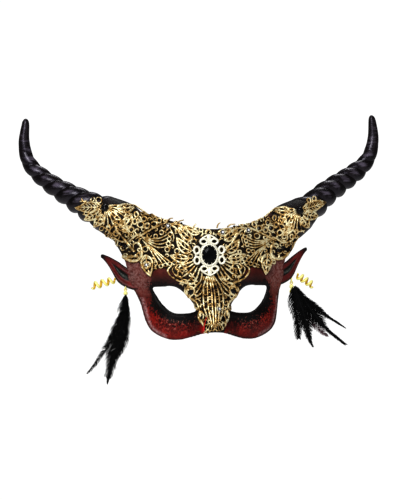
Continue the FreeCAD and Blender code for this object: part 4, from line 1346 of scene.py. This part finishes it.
# each feather's fullness, and its line from its cap: dx, dy, dz, and how far its barbs reach on
# the two sides
FEATHERS = {
    "left": {
        "long_feather": (1.35, [
            (0.4, -2.8, 4.2, 1.6, 1.8), (0.4, -2.8, -2, 1.8, 3.2), (-0.2, -2.4, -10, 2.6, 4.8),
            (-1.0, -2.4, -14, 8.5, 5.6), (-3.4, -2.6, -24, 11.5, 7.6),
            (-7.0, -2.6, -37, 12.5, 8.5), (-10.5, -2.6, -50, 10.0, 7.0),
            (-14.5, -2.6, -63, 6.4, 5.4), (-17.6, -2.4, -74, 4.4, 3.6),
            (-19.5, -2.3, -82, 1.6, 1.6), (-20.5, -2.2, -88, 0.5, 0.5)]),
        "puff_feather": (1.5, [
            (-0.4, -3.4, 4.4, 1.8, 1.8), (-1.2, -4.2, 0, 5.4, 3.0), (-1.8, -5.0, -4, 7.0, 3.6),
            (-2.0, -6.0, -8, 5.4, 3.0), (-2.0, -6.4, -11, 1.6, 1.6)]),
        "outer_wisp": (0.5, [
            (-0.6, 0.8, 2, 0.8, 0.8), (-6, 2.0, -20, 4.0, 4.0), (-14, 2.4, -40, 5.0, 4.0),
            (-23, 2.6, -54, 3.6, 2.6), (-32, 2.8, -66, 1.5, 3.0), (-41, 3.0, -77, 0.8, 0.8)]),
        "inner_wisp": (1.0, [
            (0.8, 0.9, 3, 1.6, 1.6), (1.6, 3.4, -12, 4.0, 3.4), (1.0, 5.0, -28, 5.0, 4.6),
            (-2, 6.4, -42, 5.0, 5.0), (-7, 6.8, -54, 3.0, 4.0), (-11, 7.0, -62, 1.0, 1.6)])},
    "right": {
        "inner_feather": (0.9, [
            (0.8, -2.8, 5.4, 3.0, 2.4), (1.2, -2.8, 0, 6.0, 3.4), (2.0, -2.8, -8, 6.8, 4.4),
            (3.4, -2.8, -18, 5.4, 5.4), (5.2, -3.0, -30, 5.4, 5.4), (6.4, -3.0, -41, 5.0, 3.4),
            (6.8, -3.0, -48, 2.5, 2.0)]),
        "middle_feather": (1.4, [
            (2.6, -2.9, 6.4, 2.4, 2.6), (5.2, -4.4, -4, 6.0, 7.6), (9.0, -5.6, -16, 7.4, 9.6),
            (13.0, -6.8, -30, 6.4, 6.4), (16.5, -7.0, -43, 4.0, 3.0), (18.8, -7.0, -52, 1.8, 1.6),
            (20.8, -7.0, -57, 0.8, 1.4)]),
        "outer_feather": (1.3, [
            (4.0, -0.6, 6.8, 1.6, 2.0), (10, 0.4, -4, 6.0, 7.6), (17, 1.6, -15, 7.0, 9.0),
            (25, 2.2, -26, 5.4, 6.6), (35, 2.5, -37, 2.6, 2.4), (46, 2.6, -47, 1.8, 1.8),
            (56, 2.6, -55.5, 0.9, 1.8)]),
        "upper_feather": (1.2, [
            (3.2, 0.6, 5.4, 0.8, 0.8), (9, 3.6, -2, 4.0, 2.6), (18, 6.0, -9.5, 5.0, 4.4),
            (28, 7.0, -17, 4.0, 3.8), (38, 7.6, -25.5, 1.7, 1.6), (48, 7.9, -32, 1.3, 1.4),
            (57.5, 8.0, -38.5, 0.4, 0.4)]),
        "brown_feather": (0.5, [
            (0, 1.3, 2, 0.6, 0.6), (8, 8.0, -14, 3.0, 3.0), (18, 12.0, -27, 4.0, 4.4),
            (26, 12.8, -35, 3.6, 4.4), (33, 13.0, -42, 2.2, 3.0), (39, 13.0, -47, 0.6, 0.8)])}}
BARB_GAP = 0.42
BARB_SIDES = 3


def feather(name, side, knots, fullness):
    """A quill with two vanes of curved barbs that fray and part towards their ends."""
    x, y, _ = middle_of(side + "_jump_ring")
    foot = np.array([x, y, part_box(side + "_feather_cap")[0][2] / MM])
    length = sum(math.dist(a[:3], b[:3]) for a, b in zip(knots, knots[1:]))
    rows = int(length / BARB_GAP)
    path = spline(knots, rows)
    quill = path[:, :3] + foot
    tangent = unit(np.gradient(quill, axis=0))
    flat = unit(np.cross(tangent, (0.0, 1.0, 0.0)))
    work = Cords()
    work.add(quill, np.linspace(0.55, 0.12, rows), AHEAD, 6)
    steps = np.linspace(0, 1, 6)[:, None]
    for layer in range(1 + int(fullness > 1)):
        for which, column in ((-1, 3), (1, 4)):
            clump = 0.0
            for i in range(2, rows):
                if draw.random() < 0.09:
                    clump = draw.uniform(-0.22, 0.10)
                if draw.random() > 0.55 + 0.45 * fullness:
                    continue
                reach = path[i, column] * draw.uniform(0.86, 1.08) * (1 + clump)
                if layer:
                    reach *= draw.uniform(0.45, 0.95)
                sweep = draw.uniform(0.9, 1.5) + 0.7 * clump
                side_way = flat[i] * which
                lift = draw.uniform(-0.35, 0.35) + 0.25 * layer
                droop = reach * sweep * steps ** 1.35
                line = (quill[i] + side_way * reach * steps + tangent[i] * droop
                        + np.array([0, 1.0, 0]) * (lift * reach * 0.35 * steps ** 2))
                line = line + np.array([0, 0, -1.0]) * (0.12 * reach * steps ** 2)
                width = 0.36 * draw.uniform(0.8, 1.2) * (1 - 0.8 * steps[:, 0] ** 1.5)
                work.add(line, width, AHEAD, BARB_SIDES, 0.7)
    return work.build(name + "_plume")


for side, _ in SIDES:
    for kind, (fullness, knots) in FEATHERS[side].items():
        node = side + "_" + kind
        brown = kind.startswith("brown")
        dress(feather(node, side, knots, fullness), BROWN_PLUME if brown else BLACK_PLUME,
              side + "_drop", "brown_feather" if brown else "black_feather", node)


# ------------------------------------------------------------------ what stays as it is
LOOP_BRASS = plain_metal("loop_brass", (0.25, 0.15, 0.05), (0.60, 0.42, 0.16), 0.9, 0.3)
WIRE_STEEL = plain_metal("wire_steel", (0.20, 0.19, 0.18), (0.52, 0.52, 0.52), 1.0, 0.35)
POST_GOLD = plain_metal("post_gold", (0.30, 0.24, 0.12), (0.80, 0.72, 0.50), 0.8, 0.3)
for side, _ in SIDES:
    repaint(NODES[side + "_tie_loop"], LOOP_BRASS)
    repaint(NODES[side + "_horn_wire"], WIRE_STEEL)
repaint(NODES["medallion_post"], POST_GOLD)


# ------------------------------------------------------------------ stage, light and camera
FLOOR_DROP = 350.0
FLOOR_HALF = 5000.0
# how strongly the white room lights the mask, and how strongly its gloss mirrors it
ROOM_LIGHT = 0.42
ROOM_MIRRORED = 0.10
WALL_WHITE = 1.05
# square lights: place, target and width in metres, then watts
LIGHTS = {"key": ((-0.7, -1.7, 1.4), (0, 0, 0.05), 0.8, 37),
          "fill": ((1.3, -1.5, 0.4), (0, 0, 0.05), 1.0, 2.5),
          "rim": ((0.3, 0.9, 1.5), (0, 0, 0.08), 0.6, 7)}
# the sensor's width in millimetres; the camera's distance, view and aim in metres
SENSOR = 36
CAMERA_FAR = 6.0
CAMERA_TURN = math.radians(-5)
CAMERA_ROLL = math.radians(0.8)
VIEW_TALL = 0.5225
AIM = Vector((-0.0050, 0.0, 0.0510))
GAMMA = 0.72


def pale_floor():
    """A wide pale floor some way below the mask, which hangs as if on a stand."""
    s = Shading("pale_floor")
    s.colour(s.ramp(s.noise(3, 3), (0.3, 0.90), (0.7, 0.93)))
    s.set(Roughness=0.8)
    low = cad_box[0][2] / MM - FLOOR_DROP
    corners = [(FLOOR_HALF * x, FLOOR_HALF * y, low) for x, y in ((-1, -1), (1, -1), (1, 1), (-1, 1))]
    floor = mesh_object("floor", corners, [(0, 1, 2, 3)])
    repaint(floor, s.material)


def area_light(name, place, target, width, power):
    """A soft square lamp that faces its target."""
    light = bpy.data.lights.new(name, "AREA")
    light.shape, light.size, light.energy = "SQUARE", width, power
    item = bpy.data.objects.new(name, light)
    bpy.context.collection.objects.link(item)
    item.location = place
    item.rotation_euler = (Vector(target) - Vector(place)).to_track_quat("-Z", "Y").to_euler()


def white_studio():
    """White walls as the camera sees them, which light the mask only softly."""
    world = bpy.data.worlds.new("studio")
    world.use_nodes = True
    nodes, links = world.node_tree.nodes, world.node_tree.links
    soft, wall = nodes["Background"], nodes.new("ShaderNodeBackground")
    for background in (soft, wall):
        background.inputs["Color"].default_value = (1, 1, 1, 1)
    paths = nodes.new("ShaderNodeLightPath")
    dimmed = nodes.new("ShaderNodeMath")
    dimmed.operation = "MULTIPLY_ADD"
    dimmed.inputs[1].default_value = ROOM_MIRRORED - ROOM_LIGHT
    dimmed.inputs[2].default_value = ROOM_LIGHT
    links.new(paths.outputs["Is Glossy Ray"], dimmed.inputs[0])
    links.new(dimmed.outputs[0], soft.inputs["Strength"])
    wall.inputs["Strength"].default_value = WALL_WHITE
    seen = nodes.new("ShaderNodeMixShader")
    links.new(paths.outputs["Is Camera Ray"], seen.inputs[0])
    links.new(soft.outputs[0], seen.inputs[1])
    links.new(wall.outputs[0], seen.inputs[2])
    links.new(seen.outputs[0], nodes["World Output"].inputs["Surface"])
    bpy.context.scene.world = world


def camera():
    """A long lens a little to the left of the mask, level with its brow."""
    data = bpy.data.cameras.new("camera")
    data.sensor_width = SENSOR
    data.lens = SENSOR * CAMERA_FAR / VIEW_TALL
    item = bpy.data.objects.new("camera", data)
    bpy.context.collection.objects.link(item)
    away = Vector((math.sin(CAMERA_TURN), -math.cos(CAMERA_TURN), 0))
    item.location = AIM + away * CAMERA_FAR
    item.rotation_euler = (math.pi / 2, CAMERA_ROLL, CAMERA_TURN)
    bpy.context.scene.camera = item


pale_floor()
camera()
for name, values in LIGHTS.items():
    area_light(name, *values)
white_studio()
settings = bpy.context.scene.view_settings
settings.view_transform = "Standard"
settings.gamma = GAMMA
